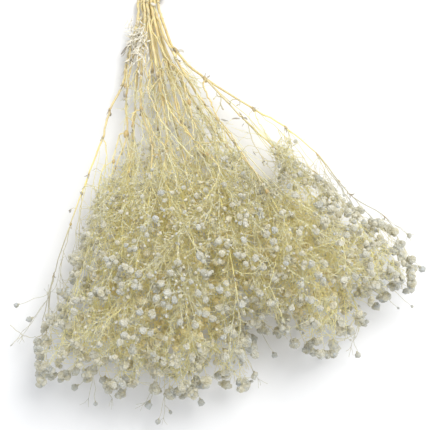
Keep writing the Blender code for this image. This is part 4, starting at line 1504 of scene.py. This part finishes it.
def make_florets(spray, open_florets, plain_florets, bud):
    places = [place for place, _, _, _ in spray.florets + spray.buds]
    seen = seen_at(places)
    depth = cloud_limits(seen)[1] - np.array(places)[:, 2]
    covered = depth > COVERED
    # Painted golden glow of bounced light on petals deep in the cloud.
    deep = eased((depth - SHALLOW) / COVERED) * eased((inset(seen) - SHALLOW) / COVERED)
    # Painted shade: petals near the outline are greyed, more so towards the bottom of the heads.
    fringe = near_outline(seen, SHADE_BAND) * rising(-seen[:, 1], PETAL_SHADE_ZONE)
    parts = []
    for number, (place, direction, radius, tone) in enumerate(spray.florets + spray.buds):
        small = number >= len(spray.florets) or chance.random() < BUD_SHARE and radius < STRAY_RADIUS
        if small:
            shape = bud
            radius *= BUD_SIZE if number < len(spray.florets) else 1
        else:
            shape = chance.choice(plain_florets if covered[number] else open_florets)
        # The tone is the floret's own grey at random plus the painted shade of the fringe.
        tone = min(1.0, tone + fringe[number] * PETAL_SHADING)
        matrix = above_floor(pointing(place, direction, radius, any_turn()), shape)
        parts.append(copied(shape, matrix, tone=tone, deep=deep[number]))
    wear(joined("florets_" + spray.name, parts), spray)


def make_leaves(spray, leaves):
    parts = []
    for place, direction, length, kind, tone in spray.leaves:
        place.z = max(place.z, length * 0.5)
        matrix = pointing(place, direction, length, chance.uniform(*LEAF_TURNS))
        parts.append(copied(leaves[kind], matrix, tone=tone))
    for place, direction, length in spray.shreds:
        place.z = max(place.z, length * 0.6)
        matrix = pointing(place, direction, length, any_turn())
        parts.append(copied(leaves[3], matrix, tone=0.0))
    wear(joined("leaves_" + spray.name, parts), spray)


def dress_sprays():
    sprays = [Spray(plan) for plan in PLANS]
    share_out(all_clusters(), sprays)
    for spray in sprays:
        grow(spray)
    hang_leaf_scraps(sprays)
    hang_shreds(sprays)
    tie_knots(sprays)
    knuckle = knuckle_shape()
    open_florets = [floret_shape("open_floret", 0.8, 3), floret_shape("half_open_floret", 0.95, 8),
                    floret_shape("closed_floret", 1.1, 13)]
    plain_florets = [plain_floret_shape("inner_floret", 0.9, 5), plain_floret_shape("inner_floret", 1.1, 6)]
    bud = plain_floret_shape("bud", 1.25, 9)
    leaves = [leaf_shape("lance_leaf", 0.17, 0.5, 0.6), leaf_shape("curled_leaf", 0.34, 1.5, 0.8),
              leaf_shape("twisted_leaf", 0.24, 2.2, 2.6), leaf_shape("shred", 0.11, 1.3, 5.0)]
    for spray in sprays:
        make_stems(spray, knuckle)
        make_florets(spray, open_florets, plain_florets, bud)
        make_leaves(spray, leaves)
    for shape in [knuckle, bud] + open_florets + plain_florets + leaves:
        bpy.data.objects.remove(shape)


dress_sprays()


# The tie

def twine_end(turn):
    """The way of a tail: from the knot on top out to the right, and down on the stems."""
    side = 1 if turn else -1
    return [Vector(point) for point in (
        (1.5, TIE_Y, 12.6), (3.2, TIE_Y - side * 1.4, 13.0), (6.2, TIE_Y - side * 2.4, 12.2),
        (8.6, TIE_Y + 1 - side * 3.6, 9.8), (9.6, TIE_Y + 2 - side * 4.6, 7.4),
    )]


def tie_turn(turn):
    """The way of one turn of twine round the stems."""
    y = TIE_Y + (turn - (TIE_TURNS - 1) / 2) * TWINE_RADIUS * 1.75
    wide, tall = TIE_HALF_WIDTH + TWINE_RADIUS, TIE_HALF_HEIGHT + TWINE_RADIUS
    angles = [math.tau * step / TURN_STEPS for step in range(TURN_STEPS)]
    return [Vector((wide * math.cos(a), y, TIE_HEIGHT + tall * math.sin(a))) for a in angles]


def resampled(points, steps):
    """The points of an open line, evenly spaced along a smooth curve through them."""
    smooth = [place for place, _ in curve_through(points)]
    lengths = np.cumsum([0] + [(b - a).length for a, b in zip(smooth, smooth[1:])])
    even = np.linspace(0, lengths[-1], steps)
    axes = [np.interp(even, lengths, [place[axis] for place in smooth]) for axis in range(3)]
    return [Vector(place) for place in zip(*axes)]


def strand(line, phase, closed):
    """One strand that winds round a line of twine."""
    winding = []
    count = len(line)
    for index, place in enumerate(line):
        after = line[(index + 1) % count] if closed else line[min(index + 1, count - 1)]
        before = line[index - 1] if closed else line[max(index - 1, 0)]
        along = (after - before).normalized()
        side = along.cross(Vector((0, 1, 0.2))).normalized()
        angle = phase + math.tau * index * STRAND_TWIST
        turned = side * math.cos(angle) + along.cross(side) * math.sin(angle)
        wound = place + turned * TWINE_RADIUS * 0.5
        wound.z = max(wound.z, STRAND_RADIUS)
        winding.append(wound)
    return winding


def make_tie():
    """Three turns of twisted twine round the stems, a knot on top, and two short tails."""
    lines = [(tie_turn(turn), True) for turn in range(TIE_TURNS)]
    lines += [(resampled(twine_end(turn), TAIL_STEPS), False) for turn in range(2)]
    knot = [Vector((1.5 + 1.7 * math.cos(a), TIE_Y + 2.1 * math.sin(a), 12.3 + 0.6 * math.cos(2 * a)))
            for a in (math.tau * step / KNOT_STEPS for step in range(KNOT_STEPS))]
    lines.append((knot, True))
    curve = new_curve("tie_twine")
    curve.bevel_depth = MM
    curve.bevel_resolution = 2
    for line, closed in lines:
        for phase in range(3):
            places = strand(line, math.tau * phase / 3, closed)
            spline = curve.splines.new("POLY")
            spline.use_cyclic_u = closed
            spline.points.add(len(places) - 1)
            for point, place in zip(spline.points, places):
                point.co = (*in_frame(place), 1)
                point.radius = STRAND_RADIUS
    twine = made_solid("tie_twine", curve, TWINE)
    twine.select_set(False)
    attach(twine, "root")
    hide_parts("tie")


make_tie()


# Floor, light and camera

def make_floor():
    bpy.ops.mesh.primitive_plane_add(size=12)
    floor = bpy.context.object
    floor.name = "floor"
    plain = Surface("plain_floor", 0.9)
    plain.inputs["Base Color"].default_value = FLOOR_WHITE
    plain.inputs["Specular IOR Level"].default_value = 0.0
    floor.data.materials.append(plain.finish)


def make_lights():
    world = bpy.data.worlds.new("studio")
    bpy.context.scene.world = world
    world.use_nodes = True
    background = world.node_tree.nodes["Background"]
    background.inputs["Color"].default_value = (0.95, 0.975, 1.0, 1.0)
    background.inputs["Strength"].default_value = 0.79
    light = bpy.data.lights.new("soft_box", "AREA")
    light.size = 0.8
    light.energy = 25.5
    light.color = (1.0, 0.995, 0.98)
    soft_box = bare_object("soft_box", light)
    soft_box.location = in_frame(EYE) + Vector((0.43, 0.69, 0.7))
    aim = in_frame(Vector((EYE.x, EYE.y, 0))) - soft_box.location
    soft_box.rotation_euler = aim.to_track_quat("-Z", "Y").to_euler()


def make_camera():
    """The eye of the plan, straight over the bunch."""
    lens = bpy.data.cameras.new("camera")
    lens.sensor_width = 36
    lens.lens = lens.sensor_width * (EYE.z - PLAN_HEIGHT) / PLAN_WIDTH
    camera = bare_object("camera", lens)
    camera.location = in_frame(EYE)
    bpy.context.scene.camera = camera


make_floor()
make_lights()
make_camera()
bpy.context.scene.view_settings.view_transform = "Standard"
